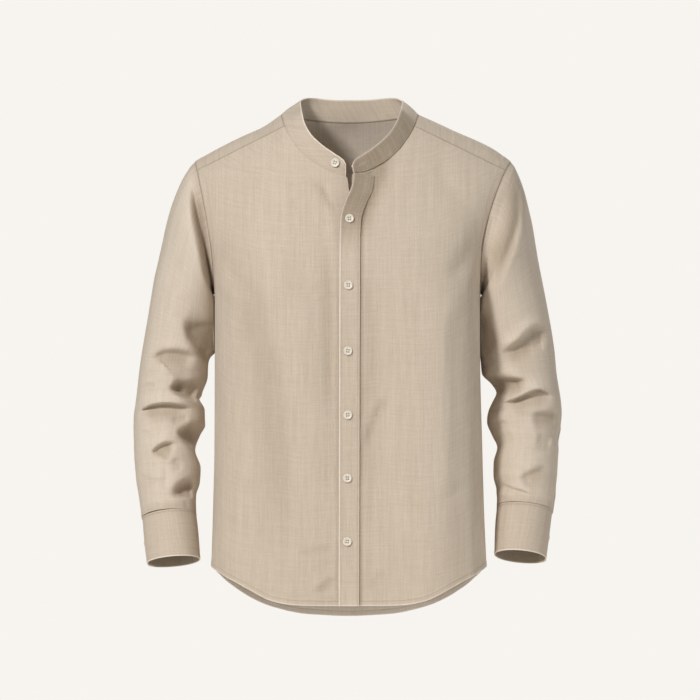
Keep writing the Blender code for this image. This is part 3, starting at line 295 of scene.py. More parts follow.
HEM_ROWS = 13
FRONT_CHEST_ROWS = AROUND // 2 - 3
FRONT_LEVEL = -0.27      # the centre front's height in the row that ends at the underarm
CENTRE_REACH = 0.06      # where the front hem's height is read for the centre edge
BELOW_YOKE_ROWS = AROUND // 2 - BACK_SEAM_STEP
SHOULDER_ROWS = 5
FRONT_COLUMNS = 10
BACK_COLUMNS = 22
YOKE_ROWS = 5
YOKE_CORNER_ANGLE = 0.36     # where on the neckline the columns to the back corners end
YOKE_END_SHARE = 0.62
YOKE_SMOOTHING = 24
CORNER_SPREAD = 1.6
BAND_ROWS = 3
BAND_BULGE = 0.0018      # how much higher the band's middle rows lie
CUFF_ROWS = 3
Crease = namedtuple("Crease", "x_from z_from x_to z_to width depth bend")
FRONT_CREASES = [
    # soft creases, seen from the front: a negative depth sinks in
    Crease(-0.0390, -0.0930, -0.0260, -0.1230, 0.0055, -0.0022, 0.002),
    Crease(-0.0470, -0.0960, -0.0330, -0.1300, 0.0060, 0.0014, 0.002),
    Crease(0.0400, -0.0790, 0.0110, -0.1240, 0.0050, -0.0026, 0.003),
    Crease(0.0480, -0.0800, 0.0190, -0.1290, 0.0060, 0.0016, 0.003),
    Crease(-0.1150, -0.0550, -0.1450, -0.1250, 0.0140, -0.0030, -0.006),
    Crease(-0.1880, -0.1900, -0.1550, -0.2500, 0.0120, -0.0035, 0.006),
    Crease(-0.1800, -0.2300, -0.1350, -0.3050, 0.0130, 0.0020, 0.008),
    Crease(0.1880, -0.1700, 0.1520, -0.2350, 0.0130, -0.0040, -0.006),
    Crease(0.1780, -0.2150, 0.1400, -0.3000, 0.0140, 0.0022, -0.008),
    Crease(0.1350, -0.0620, 0.1650, -0.1250, 0.0140, -0.0028, 0.006),
    Crease(-0.0250, -0.1540, -0.0480, -0.1680, 0.0060, -0.0014, 0.0),
    Crease(-0.0230, -0.2480, -0.0520, -0.2560, 0.0060, -0.0014, 0.0),
    Crease(-0.0220, -0.3440, -0.0480, -0.3360, 0.0060, -0.0012, 0.0),
    Crease(0.0240, -0.2500, 0.0520, -0.2620, 0.0060, -0.0012, 0.0),
    Crease(0.0240, -0.4370, 0.0560, -0.4270, 0.0065, -0.0013, 0.0),
    Crease(-0.0240, -0.5290, -0.0540, -0.5380, 0.0065, -0.0013, 0.0),
    Crease(-0.1700, -0.5600, -0.1200, -0.5300, 0.0120, -0.0018, 0.004),
    Crease(0.1760, -0.5400, 0.1260, -0.5750, 0.0120, -0.0018, 0.004),
]
BACK_CREASES = [
    Crease(-0.1700, -0.2050, -0.1200, -0.2600, 0.0130, -0.0030, 0.006),
    Crease(0.1700, -0.2000, 0.1150, -0.2600, 0.0130, -0.0030, -0.006),
    Crease(-0.0900, -0.1500, -0.0600, -0.2300, 0.0120, -0.0025, 0.0),
    Crease(0.0850, -0.1450, 0.0600, -0.2300, 0.0120, -0.0025, 0.0),
    Crease(-0.1400, -0.4100, -0.0800, -0.4350, 0.0110, -0.0022, 0.004),
    Crease(0.1350, -0.4000, 0.0700, -0.4300, 0.0110, -0.0022, -0.004),
    Crease(-0.0300, -0.5200, 0.0300, -0.5050, 0.0120, -0.0016, 0.004),
]

FINE_FOLDS = {
    # smaller creases between the main ones
    LEFT: [
        Fold(-0.3560, -0.020, 95, 45, 0.0060, 0.0030, 0.0016, 0.001),
        Fold(-0.3990, 0.006, 150, 40, 0.0055, 0.0035, 0.0020, 0.002),
        Fold(-0.4260, -0.004, 150, 45, 0.0050, 0.0032, 0.0020, 0.002),
        Fold(-0.4560, 0.010, 100, 45, 0.0055, 0.0028, 0.0016, 0.001),
        Fold(-0.4900, -0.006, 60, 50, 0.0060, 0.0026, 0.0015, 0.001),
        Fold(-0.5160, 0.008, 110, 45, 0.0055, 0.0028, 0.0018, 0.001),
        Fold(-0.5600, 0.004, 80, 60, 0.0045, 0.0018, 0.0012, 0.001),
        Fold(-0.3950, 0.006, 215, 45, 0.0060, 0.0030, 0.0018, 0.001),
        Fold(-0.4450, 0.004, 235, 50, 0.0060, 0.0034, 0.0018, 0.001),
        Fold(-0.5020, -0.006, 250, 50, 0.0060, 0.0028, 0.0016, 0.001),
    ],
    RIGHT: [
        Fold(-0.3760, 0.010, 110, 45, 0.0060, 0.0030, 0.0016, 0.001),
        Fold(-0.4130, 0.004, 70, 45, 0.0050, 0.0034, 0.0022, 0.002),
        Fold(-0.4470, -0.006, 115, 50, 0.0055, 0.0034, 0.0020, 0.002),
        Fold(-0.5060, 0.006, 100, 50, 0.0055, 0.0028, 0.0018, 0.001),
        Fold(-0.5260, -0.004, 60, 50, 0.0055, 0.0030, 0.0018, 0.001),
        Fold(-0.5680, 0.004, 90, 60, 0.0045, 0.0024, 0.0016, 0.001),
        Fold(-0.4000, -0.006, 220, 50, 0.0060, 0.0030, 0.0018, 0.001),
        Fold(-0.4520, 0.004, 240, 50, 0.0060, 0.0034, 0.0018, 0.001),
        Fold(-0.5160, -0.004, 255, 50, 0.0060, 0.0028, 0.0016, 0.001),
    ],
}

PHOTO_PITCH = 0.00146    # one pixel of the photo in metres
PHOTO_MIDDLE = 348       # the photo's column where x is 0
PHOTO_LEVEL = 116        # the photo's row where the height is 0
BODY = 0                 # the row of wrinkles that both fronts and the placket share
BACK = 2                 # its rows push to the back
Wrinkle = namedtuple("Wrinkle", "pixels above below ridge trough edge tone", defaults=(None,))
WRINKLES = {
    # each line runs through a few given pixels. Seen from the front it
    # has a ridge on its left, or above it, and a trough on its right: how far they reach,
    # how deep they are and how wide the edge between them is, in metres, then the trough's
    # painted shade, where it isn't worked out from its depth
    RIGHT: [
        # soft overhang above the elbow
        Wrinkle([(151, 365), (155, 356), (164, 351.5), (176, 351), (188, 353.5), (198, 357)],
                0.012, 0.024, 0.0030, 0.0090, 0.0036, 0.36),
        # valley beside the armhole
        Wrinkle([(216, 303), (210, 283), (204.3, 261.4), (200, 241.4), (195, 219), (192.5, 200),
                 (192, 180)], 0.010, 0.027, 0.0036, 0.0160, 0.0036, 0.36),
        # turn towards the body
        Wrinkle([(209, 371), (203, 357), (196.5, 347), (190, 338), (186.5, 327), (185.5, 314)],
                0.012, 0.034, 0.0034, 0.0170, 0.0050, 0.60),
        # soft top of that hollow
        Wrinkle([(186, 316), (195, 312), (208, 318)], 0.010, 0.012, 0.0006, 0.0030, 0.0080),
        # deep inner trough over its ridge
        Wrinkle([(199, 402), (190, 399.2), (183, 396.4), (176.5, 392.5), (168, 388)],
                0.008, 0.018, 0.0040, 0.0190, 0.0022, 0.52),
        # sharp overhang, and the hollow under it
        Wrinkle([(137.5, 416), (141, 411), (146, 407.3), (152.5, 404.9), (161, 403.4),
                 (168, 403.2), (177, 404.1), (186, 405.8), (194, 410.4)],
                0.010, 0.006, 0.0055, 0.0075, 0.0009, 0.34),
        Wrinkle([(137, 418), (146, 409), (159, 405), (170, 405), (182, 408), (194, 412)],
                0.006, 0.018, 0.0008, 0.0080, 0.0045, 0.30),
        # soft dent below it
        Wrinkle([(172, 417), (180, 418), (189, 416)], 0.007, 0.007, 0.0002, 0.0045, 0.0040),
        # faint outer crease
        Wrinkle([(136, 427), (144, 430), (153, 434)], 0.005, 0.006, 0.0010, 0.0016, 0.0020),
        # inner trough over its ridge
        Wrinkle([(197, 453), (190, 446), (185.5, 441.5), (181.5, 436.5), (176, 429)],
                0.008, 0.020, 0.0036, 0.0170, 0.0028, 0.46),
        # curved crease
        Wrinkle([(151, 458), (153, 451.5), (158, 446.5), (164, 443.3), (170, 442.5), (178, 444.5)],
                0.012, 0.019, 0.0034, 0.0085, 0.0020, 0.36),
        # soft patch
        Wrinkle([(176, 456), (180, 463), (183, 470)], 0.008, 0.010, 0.0005, 0.0050, 0.0050, 0.18),
        # soft crease at the outer side
        Wrinkle([(139, 474.5), (147, 477), (156, 479), (169, 477.5)],
                0.007, 0.009, 0.0012, 0.0034, 0.0030, 0.12),
        # hollow above the cuff
        Wrinkle([(173.5, 499), (175, 492), (179, 485.5), (186, 481.5), (197, 480.5)],
                0.012, 0.024, 0.0028, 0.0140, 0.0050, 0.48),
        # two puckers at the cuff
        Wrinkle([(150, 505), (158, 503), (166, 505)], 0.003, 0.004, 0.0008, 0.0018, 0.0016),
        Wrinkle([(172, 507), (180, 503), (187, 505)], 0.003, 0.004, 0.0008, 0.0018, 0.0016),
        # small outer fold
        Wrinkle([(140, 387), (148, 383.5), (158, 386)], 0.006, 0.007, 0.0012, 0.0028, 0.0025),
        # long soft fold
        Wrinkle([(168, 300), (170, 262), (176, 225)], 0.012, 0.012, 0.0012, 0.0016, 0.0080),
    ],
    LEFT: [
        # valley beside the armhole
        Wrinkle([(490, 205), (492.5, 220), (489.5, 236), (485, 253), (482, 268.6), (480.5, 286)],
                0.010, 0.012, 0.0020, 0.0050, 0.0035, 0.14),
        # long valley on the sleeve
        Wrinkle([(516, 162), (522, 190), (521, 215), (514, 244), (505, 268), (498, 292)],
                0.016, 0.024, 0.0034, 0.0080, 0.0045, 0.46),
        # small crease
        Wrinkle([(505, 262), (514, 258), (527, 254)], 0.004, 0.004, 0.0007, 0.0013, 0.0016),
        # turn towards the body
        Wrinkle([(484.5, 305), (488, 319), (492.5, 333), (494, 341), (491, 352), (487, 363)],
                0.012, 0.026, 0.0028, 0.0120, 0.0050, 0.36),
        # diagonal trough under its ridge, and the soft hollow beside it
        Wrinkle([(497, 355), (506, 349.5), (519, 341), (529, 331), (538, 326.5), (552, 327)],
                0.013, 0.025, 0.0045, 0.0120, 0.0036, 0.46),
        Wrinkle([(552, 338), (538, 348), (522, 354)], 0.007, 0.012, 0.0010, 0.0045, 0.0060, 0.14),
        # inner trough, and the dent at its inner end
        Wrinkle([(489, 372), (496, 376.5), (505, 378.8), (514, 379.2), (527, 380)],
                0.013, 0.016, 0.0038, 0.0120, 0.0024, 0.46),
        Wrinkle([(494, 383), (500, 386), (505, 389)], 0.006, 0.008, 0.0002, 0.0060, 0.0040),
        # sharp overhang, and the hollow under it
        Wrinkle([(500, 404), (506, 401.8), (512.5, 399.8), (520, 396.7), (527.5, 393),
                 (534, 390.3), (539, 389.6), (545, 391.8), (553, 397)],
                0.010, 0.006, 0.0055, 0.0080, 0.0009, 0.36),
        Wrinkle([(504, 405), (514, 400.5), (527, 395), (538, 392), (548, 396), (556, 402)],
                0.006, 0.019, 0.0008, 0.0075, 0.0045, 0.28),
        # outer trough, and a lower one
        Wrinkle([(530, 413.5), (540, 412.8), (550, 412), (559, 411)],
                0.008, 0.019, 0.0018, 0.0070, 0.0034, 0.38),
        Wrinkle([(537, 434), (545, 436.5), (553, 438.5)], 0.008, 0.014, 0.0014, 0.0060, 0.0060, 0.18),
        # soft diagonal
        Wrinkle([(517, 480), (523, 475.5), (531, 471.5), (539, 467.5), (544, 462)],
                0.010, 0.018, 0.0022, 0.0070, 0.0045, 0.28),
        # long crease
        Wrinkle([(496, 483), (503.8, 484.3), (512.5, 487.7), (525, 491.5), (535, 496)],
                0.006, 0.005, 0.0016, 0.0034, 0.0012),
        # inner notch
        Wrinkle([(495, 497), (501, 496), (508, 498)], 0.004, 0.006, 0.0010, 0.0045, 0.0020),
        # two puckers at the cuff
        Wrinkle([(512, 500), (520, 498), (528, 501)], 0.003, 0.004, 0.0008, 0.0016, 0.0016),
        Wrinkle([(532, 502), (538, 500.5), (545, 503)], 0.003, 0.004, 0.0008, 0.0024, 0.0014),
        # small inner fold
        Wrinkle([(493, 418), (499, 420.5), (508, 421)], 0.007, 0.007, 0.0012, 0.0030, 0.0030),
    ],
    BODY: [
        # long soft hollows down the fronts
        Wrinkle([(240, 196), (252, 250), (264, 310), (278, 370), (287, 430), (292, 500), (294, 590)],
                0.022, 0.030, 0.0018, 0.0064, 0.0080, 0.15),
        Wrinkle([(372, 240), (378, 300), (382, 370), (380, 440), (378, 540)],
                0.014, 0.022, 0.0016, 0.0040, 0.0080, 0.09),
        # crest before the side
        Wrinkle([(455, 570), (452, 420), (450, 320), (456, 230)],
                0.024, 0.020, 0.0030, 0.0004, 0.0090),
        # fold under the open neck edge
        Wrinkle([(398, 138), (389, 160), (384, 178), (378, 194), (372, 208), (366, 224), (361, 250)],
                0.004, 0.021, 0.0001, 0.0016, 0.0045, 0.40),
        # two creases from the top button
        Wrinkle([(319, 176), (324, 188), (331, 202), (340, 214)],
                0.005, 0.006, 0.0010, 0.0026, 0.0018, 0.22),
        Wrinkle([(312, 172), (316, 184), (322, 198)], 0.005, 0.006, 0.0006, 0.0016, 0.0022, 0.12),
        # hollow beside the placket
        Wrinkle([(332, 240), (331.5, 300), (332, 360), (334, 425)],
                0.005, 0.008, 0.0012, 0.0032, 0.0030, 0.20),
        # puckers at the buttons, the long one at the fourth
        Wrinkle([(361, 455), (366, 433), (375, 411), (388, 388)],
                0.007, 0.009, 0.0020, 0.0042, 0.0020, 0.22),
        Wrinkle([(342, 296), (332, 299), (322, 305)], 0.004, 0.006, 0.0006, 0.0014, 0.0022, 0.10),
        Wrinkle([(322, 402), (332, 396), (340, 394)], 0.004, 0.006, 0.0006, 0.0014, 0.0022, 0.10),
        Wrinkle([(362, 330), (372, 326), (384, 328)], 0.004, 0.005, 0.0005, 0.0010, 0.0025),
        # low puckers
        Wrinkle([(312, 590), (322, 584), (334, 573)], 0.006, 0.008, 0.0018, 0.0036, 0.0018, 0.18),
        Wrinkle([(292, 551), (312, 548), (334, 543)], 0.005, 0.007, 0.0008, 0.0018, 0.0025, 0.10),
        Wrinkle([(316, 566), (326, 561), (336, 557)], 0.004, 0.005, 0.0005, 0.0012, 0.0025),
        Wrinkle([(364, 588), (372, 578), (384, 568)], 0.004, 0.006, 0.0006, 0.0015, 0.0025, 0.10),
    ],
    BACK: [
        # long soft hollows
        Wrinkle([(262, 235), (270, 320), (276, 420), (280, 540)],
                0.024, 0.030, 0.0020, 0.0060, 0.0090, 0.09),
        Wrinkle([(416, 560), (418, 440), (424, 340), (432, 250)],
                0.028, 0.026, 0.0020, 0.0050, 0.0090, 0.08),
        # low crest in the middle
        Wrinkle([(352, 560), (349, 420), (352, 262)], 0.026, 0.026, 0.0024, 0.0008, 0.0100),
        # folds at the waist
        Wrinkle([(244, 398), (270, 408), (304, 404)], 0.009, 0.012, 0.0020, 0.0046, 0.0034, 0.12),
        Wrinkle([(452, 432), (430, 441), (396, 436)], 0.012, 0.009, 0.0020, 0.0042, 0.0034, 0.12),
        Wrinkle([(248, 428), (266, 434), (288, 433)], 0.007, 0.009, 0.0012, 0.0028, 0.0030, 0.08),
        # pulls from the armholes
        Wrinkle([(230, 228), (248, 246), (272, 256)], 0.008, 0.010, 0.0016, 0.0040, 0.0032, 0.12),
        Wrinkle([(466, 224), (450, 242), (428, 252)], 0.010, 0.008, 0.0016, 0.0036, 0.0032, 0.12),
        # soft dents below the yoke
        Wrinkle([(318, 232), (322, 262), (320, 300)], 0.009, 0.010, 0.0010, 0.0026, 0.0040, 0.06),
        Wrinkle([(378, 228), (374, 256), (377, 288)], 0.009, 0.010, 0.0010, 0.0026, 0.0040, 0.06),
    ],
}

FRONT_SHARE = 0.30       # how much of the shared creases stays in front of a sleeve
SLEEVE_LIGHT = 0.13       # painted light: the sleeves' fronts are made paler, as they catch a little more light than the body
WRINKLE_TAPER = 0.30     # share of a wrinkle's length over which each of its ends fades
HIGH_CREST = 0.003       # a ridge this high has the whole painted highlight of a crest
CREST_HIGHLIGHT = 0.09
DEEP_TROUGH = 0.012      # and a trough this deep the whole painted shade of a trough, where its row has no tone
TROUGH_SHADE = 0.22
END_REACH = {LEFT: 0.0, RIGHT: 0.0019}    # a sleeve's end comes down to its cuff
END_PEAK = 0.42          # share of the way round where it comes down most
SEAM_HOLD = 0.016        # the sleeve's creases fade out over this length at both its seams
THICKNESS = 0.0007
BAND_THICKNESS = 0.0015
FELL = 0.0125            # width of the felled armhole seam on the body
FELL_LIFT = 0.00045
SEAM_GROOVE = 0.0005
GROOVE_WIDTH = 0.0012
HEM_FOLD = 0.0085
HEM_LIFT = 0.0004
HEM_WAVE = 0.0006        # the hem's own unevenness
HEM_WAVE_LENGTH = 0.05
HEM_WAVE_REACH = 0.02
EDGE_FOLD = 0.0045       # width of the stitched fold along band, placket and cuffs
EDGE_LIFT = 0.00025
YOKE_FOLD = 0.0060
YOKE_LIFT = 0.0003
RIPPLE_WAVE = 0.011      # length of the waves that a stitched line puckers into
FELL_INSET = 0.0018      # from a felled seam's edge to its stitched line
FELL_PUCKER = 0.00022    # the waves' depth there, and how far inside the edge they are deepest
FELL_PUCKER_INSET = 0.002
SEAM_PUCKER = 0.00020    # the waves' depth beside the other stitched lines
STITCH_INSET = 0.0016    # from the edge of a raised fold to its stitched line
FOLD_SLOPE = 0.0010      # width over which a raised fold comes down, and where it starts
FELL_SLOPE = 0.0009
SLOPE_START = 0.0004
STITCH_SINK = 0.00016    # how deep a stitched line lies, and how wide
SINK_WIDTH = 0.0009
PUCKER_REACH = 0.006     # how far the puckers reach on both sides of a stitched line
NEAR_LINE = 0.003        # a border within this distance of a seam follows it
STITCH_PITCH = 0.0030
STITCH_RADIUS = 0.00024
EDGE_STITCH = 0.0029     # from an edge to the stitches beside it
SEAM_STITCH = 0.0019
FELL_STITCH = 0.0107
HEM_STITCH = 0.0069
SEAM_LINE = 0.0009       # half width of a painted line: the painted shadow in a seam, and by default also the painted shade of a stitched line and the painted highlight of an edge
# how dark the painted shadow in a seam is
SEAM_SHADOW = 0.42
SEWN_SHADE = 0.09         # painted shade: cloth is a little darker where a stitched line holds it down, and painted highlight: it is paler where an edge is rolled
EDGE_HIGHLIGHT = 0.50         # and paler where an edge is rolled
# half width of the painted highlight along an edge of the band and the cuffs
EDGE_LINE = 0.0015
INSIDE_TONE = -0.25      # painted shade on the cuffs' inner side, which little light reaches
BACK_INSIDE_LIGHT = 0.36  # painted light: the inner side of the back and the yoke is made paler, as if more light reached it
NECK_SEAM_SHADOW = {LEFT: 0.42, RIGHT: 0.08}    # painted shadow of the band's seam, which shows on one side only
TURNED_SHADE = 0.34       # painted shade where the free left front edge turns away from the light at the open neck
TURNED_FROM = -0.2100    # the height where that painted shade begins, and over which it comes in
TURNED_FADE = 0.08
PLACKET_TOP = -0.0900    # the painted shadow line beside the placket ends at this height
PLACKET_TOP_FADE = 0.02
BESIDE_PLACKET = 0.0004  # from the placket's edge to the painted shadow line on the front
LAPPED_EASE = 0.006      # width over which the fronts' creases end where they lap
BAND_WAVE = 0.0005       # the band's own unevenness
BAND_WAVE_LENGTH = 0.055
BAND_FRONT_FROM = 0.01   # how far before the shoulder line the band's front part begins
BAND_FRONT_EASE = 0.05
BAND_LEFT_FROM = -0.01   # where the painted shade of the band's free left part begins
BAND_LEFT_EASE = 0.02
SLEEVE_GROOVE = 0.8 * SEAM_GROOVE     # the seam at the armhole, on the sleeve
SLEEVE_GROOVE_WIDTH = 0.0016
# half width of the painted shadow in that seam
SLEEVE_SEAM_LINE = 0.0012
GATHER = 0.0007          # the sleeve is gathered a little into its cuff
GATHER_WAVE = 0.017
BUTTONHOLE_FROM = 0.0120
BUTTONHOLE_LENGTH = 0.0130
BUTTONHOLE_HALF_WIDTH = 0.0012
BUTTONHOLE_RISE = 0.0001
BUTTONHOLE_THREAD = 0.0004

# distances from a border at which its own close lines are set
SEAM_LINES = [0.0, 0.0006, 0.0012, 0.0020, 0.0030, 0.0045]
HEM_LINES = [0.0, 0.0006, 0.0022, 0.0050, 0.0066, 0.0074, 0.0080, 0.0086, 0.0094, 0.0110]
FELL_LINES = [0.0, 0.0006, 0.0014, 0.0030, 0.0060, 0.0090, 0.0104, 0.0112, 0.0118, 0.0125, 0.0132,
              0.0150]
EDGE_LINES = [0.0, 0.0006, 0.0016, 0.0026, 0.0034, 0.0042, 0.0056]
ALL_BORDERS = ("row_start", "row_end", "col_start", "col_end")

Cut = namedtuple("Cut", "width length area held")

THREAD_PITCH = 0.0009
WEAVE_DEPTH = 0.00035
SWIRL_DEPTH = 0.0002
TONE_FADES = 0.7         # paler cloth is greyer and darker cloth more coloured, by this share
GRAIN_HALF_WIDTH = 0.245
BUTTON_SEAT = 0.0004     # how far a button lies above the cloth
BAND_BUTTON_SEAT = 0.0006
BUTTON_TURN = 0.12       # the front buttons' holes are turned by this, or not, or back
BAND_BUTTON_TURN = 0.3
CUFF_BUTTON_TURN = 0.5
BUTTON_SIDES = 72
FACE_RINGS = 26          # close rings over the dish, where the holes are
FACE_REACH = 0.60
# rings round the rim and then over the back, as shares of the radius and the thickness
RIM_SHARES = [0.64, 0.68, 0.72, 0.76, 0.80, 0.84, 0.88, 0.92, 0.96, 0.99, 1.0]
BUTTON_BACK = [(0.995, 0.30), (0.96, 0.10), (0.90, 0.0), (0.0, 0.0)]
BUTTON_THREAD_RADIUS = 0.00018
BUTTON_THREAD_OFFSET = 0.0002
BUTTON_THREAD_LIFT = 0.02    # share of the thickness
# shares of the way from hole to hole, and the height over the face
BUTTON_THREAD_PATH = [(0.0, -0.0012), (0.06, -0.0001), (0.3, 0.0003), (0.7, 0.0003),
                      (0.94, -0.0001), (1.0, -0.0012)]
HOLE_SPREAD = 0.25
HOLE_DEPTH = 0.42        # share of the button's thickness
HOLE_RADIUS = 0.00092
HOLE_WALL = 0.00022      # width over which a hole sinks, and over which its painted shadow comes in
HOLE_SHADE = 0.0003
HOLE_SHADOW = 0.78         # painted shadow: how much darker the bottom of a button's hole is

BODY_COLOUR = (0.600, 0.510, 0.412)
THREAD_COLOUR = (0.560, 0.470, 0.375)
BUTTON_COLOUR = (0.800, 0.735, 0.640)
Tone = namedtuple("Tone", "across along detail strength")
TONES = [
    # noise in waves per metre across and along the grain: fine threads both ways,
    # slubs both ways, then uneven weight over hand-sized places
    Tone(950.0, 60.0, 2.0, 0.16),
    Tone(55.0, 900.0, 2.0, 0.16),
    Tone(420.0, 14.0, 1.0, 0.19),
    Tone(12.0, 380.0, 1.0, 0.12),
    Tone(620.0, 620.0, 2.0, 0.22),
    Tone(90.0, 8.0, 2.0, 0.12),
    Tone(9.0, 6.0, 2.0, 0.07),
]

CAMERA_DISTANCE = 36.0
FRAME_WIDTH = 1.022
FRAME_MIDDLE_X = 0.0029
FRAME_MIDDLE_Z = -0.3416
FLOOR_HEIGHT = -1.0
FLOOR_RADIUS = 1.6
BACKDROP = (0.930, 0.905, 0.863)
AMBIENT = 0.24
AMBIENT_COLOUR = (1.0, 0.98, 0.95)
Lamp = namedtuple("Lamp", "name place aim size power colour")
LAMPS = [
    Lamp("key", (-2.1, -3.4, 1.8), (0.0, 0.0, -0.35), 0.8, 142.0, (1.0, 0.985, 0.96)),
    Lamp("fill", (3.3, -2.4, 0.5), (0.0, 0.0, -0.35), 1.2, 32.0, (1.0, 0.985, 0.96)),
    Lamp("top", (-0.2, 0.3, 2.6), (0.0, 0.0, -0.2), 1.2, 8.0, (1.0, 0.99, 0.97)),
    Lamp("behind", (0.8, 3.0, 0.6), (0.0, 0.0, -0.3), 2.2, 48.0, (1.0, 0.99, 0.97)),
]


def curve(keys, values, at):
    """A smooth line through a table's values that never overshoots them."""
    keys = np.asarray(keys, float)
    values = np.asarray(values, float)
    if keys[0] > keys[-1]:
        keys = keys[::-1]
        values = values[::-1]
    step = np.diff(keys)
    slope = np.diff(values) / step
    tangent = np.empty_like(values)
    tangent[0] = slope[0]
    tangent[-1] = slope[-1]
    same = slope[:-1] * slope[1:] > 0
    both = np.where(same, slope[:-1] + slope[1:], 1.0)
    tangent[1:-1] = np.where(same, 2 * slope[:-1] * slope[1:] / both, 0.0)
    at = np.clip(np.asarray(at, float), keys[0], keys[-1])
    low = np.clip(np.searchsorted(keys, at, side="right") - 1, 0, len(step) - 1)
    share = (at - keys[low]) / step[low]
    rise = tangent[low] * step[low]
    fall = tangent[low + 1] * step[low]
    change = values[low + 1] - values[low]
    return values[low] + between(change, rise, fall, share)


def column(table, name, at, key="height"):
    return curve([getattr(row, key) for row in table],
                 [getattr(row, name) for row in table], at)


def side_name(side):
    return "left" if side == LEFT else "right"


def ease(share):
    share = np.clip(share, 0.0, 1.0)
    return share * share * (3 - 2 * share)


def bell(away, width):
    """1 on a line, and fading out on both sides of it."""
    return np.exp(-(away / width) ** 2)


def between(change, rise, fall, share):
    """A smooth step over this change, with these slopes at its start and its end."""
    bend = 3 * change - 2 * rise - fall
    twist = rise + fall - 2 * change
    return share * (rise + share * (bend + share * twist))


def armhole_point(side, angle):
    """A point of the armhole seam: 0 at the shoulder, pi at the underarm,
    positive round the front and negative round the back."""
    hole = ARMHOLES[side]
    middle = (ARMHOLE_TOP + ARMHOLE_BOTTOM) / 2
    reach = (ARMHOLE_TOP - ARMHOLE_BOTTOM) / 2
    height = middle + reach * np.cos(angle)
    swing = np.abs(np.sin(angle))
    out = hole.bottom + (hole.top - hole.bottom) * ((1 + np.cos(angle)) / 2) ** 1.5
    out = out - hole.scoop * swing ** 1.3 * ease(2 - np.abs(angle) * 2 / math.pi)
    depth = np.where(np.sin(angle) > 0, -hole.front * swing, hole.back * swing)
    return np.stack([side * out, depth, height], -1)


def armhole_angle(step):
    return step * 2 * math.pi / AROUND


def depth_at(height, back):
    return column(TORSO, "back" if back else "front", height)


def form_at(height, back):
    return column(TORSO, "back_form" if back else "form", height)


def half_width(side, height, back):
    """The torso's half width. Beside an armhole it is what carries the ring
    through the armhole's edge."""
    height = np.asarray(height, float)
    plain = column(TORSO, side_name(side), height)
    middle = (ARMHOLE_TOP + ARMHOLE_BOTTOM) / 2
    reach = (ARMHOLE_TOP - ARMHOLE_BOTTOM) / 2
    inside = np.clip((height - middle) / reach, -1, 1)
    angle = np.arccos(inside)
    edge = armhole_point(side, -angle if back else angle)
    form = form_at(height, back)
    share = np.abs(edge[..., 1]) / depth_at(height, back)
    carried = np.abs(edge[..., 0]) / (1 - share ** form) ** (1 / form)
    within = (height < ARMHOLE_TOP) & (height > ARMHOLE_BOTTOM)
    return np.where(within, carried, plain)


def width_at(x, height, back):
    """The torso's half width on the side where x lies."""
    return np.where(x >= 0, half_width(LEFT, height, back), half_width(RIGHT, height, back))


def front_or_back(back, size, *places):
    """A size of the torso for points of which some lie at the back."""
    return np.where(back, size(*places, True), size(*places, False))


def turn_at(x, height, back=False):
    """How far round its ring a point lies: 0 at the centre, 1 at the side."""
    x = np.asarray(x, float)
    width = width_at(x, height, back)
    share = np.clip(np.abs(x) / width, 0, 1) ** (TURN_FORM / 2)
    return np.sign(x) * np.arcsin(share) * 2 / math.pi


def drape(drapes, x, height):
    """The depth of the upright folds at a place on the front or the back."""
    total = np.zeros_like(x)
    for fold in drapes:
        along = np.clip((height - fold.top) / (fold.foot - fold.top), 0, 1)
        middle = fold.x_top + (fold.x_foot - fold.x_top) * along
        total += fold.depth * ease(along * 2.5) * bell(x - middle, fold.width)
    return total


def torso_point(turn, height, back=False):
    turn = np.asarray(turn, float)
    height = np.broadcast_to(np.asarray(height, float), turn.shape)
    width = width_at(turn, height, back)
    form = form_at(height, back)
    angle = np.abs(turn) * math.pi / 2
    reach = np.minimum(np.sin(angle) ** (2 / TURN_FORM), 1.0)
    x = np.sign(turn) * width * reach
    depth = depth_at(height, back) * (1 - reach ** form) ** (1 / form)
    folds = drape(BACK_DRAPES if back else FRONT_DRAPES, x, height)
    depth = depth + folds * np.cos(angle)
    return np.stack([x, depth if back else -depth, height], -1)


def shoulder_height(x, y):
    """The height of the torso's surface over a point in plan."""
    high = np.full(x.shape, HIGHEST_SHOULDER)
    low = np.full(x.shape, LOWEST_SHOULDER)
    for _ in range(40):
        middle = (high + low) / 2
        back = y > 0
        form = front_or_back(back, form_at, middle)
        width = front_or_back(back, width_at, x, middle)
        depth = front_or_back(back, depth_at, middle)
        outside = (np.abs(x) / width) ** form + (np.abs(y) / depth) ** form > 1
        high = np.where(outside, middle, high)
        low = np.where(outside, low, middle)
    return (high + low) / 2


def neck_front(side, height):
    x = side * column(NECKLINE, side_name(side), height)
    return torso_point(turn_at(x, height), height)


def neck_back(angle):
    """The neckline over the yoke: 0 at the wearer's left, pi/2 at the centre back."""
    side = np.where(np.cos(angle) >= 0, LEFT, RIGHT)
    reach = np.where(side == LEFT, NECK_SIDE[LEFT], NECK_SIDE[RIGHT])
    x = reach * np.sign(np.cos(angle)) * np.abs(np.cos(angle)) ** 0.95
    y = NECK_BACK_DEPTH * np.sin(angle) ** 0.95
    height = NECK_SIDE_HEIGHT + (NECK_BACK_HEIGHT - NECK_SIDE_HEIGHT) * np.sin(angle) ** 2
    return np.stack([x, y, height], -1)


def hem_height(reach, back):
    return column(HEM, "back" if back else "front", reach, key="reach")


def reach_at(turns):
    """The share of the half width at each turn of the lower body."""
    return np.sin(np.abs(turns) * math.pi / 2) ** (2 / TURN_FORM)


def normals(grid, wrap):
    """Unit normals of a grid of points, across its rows and up its columns."""
    if wrap:
        across = np.roll(grid, -1, 1) - np.roll(grid, 1, 1)
    else:
        across = np.gradient(grid, axis=1)
    along = np.gradient(grid, axis=0)
    facing = np.cross(across, along)
    size = np.linalg.norm(facing, axis=2, keepdims=True)
    for row in range(1, len(grid)):
        thin = size[row, :, 0] < 1e-9
        facing[row][thin] = facing[row - 1][thin]
        size[row][thin] = size[row - 1][thin]
    return facing / size


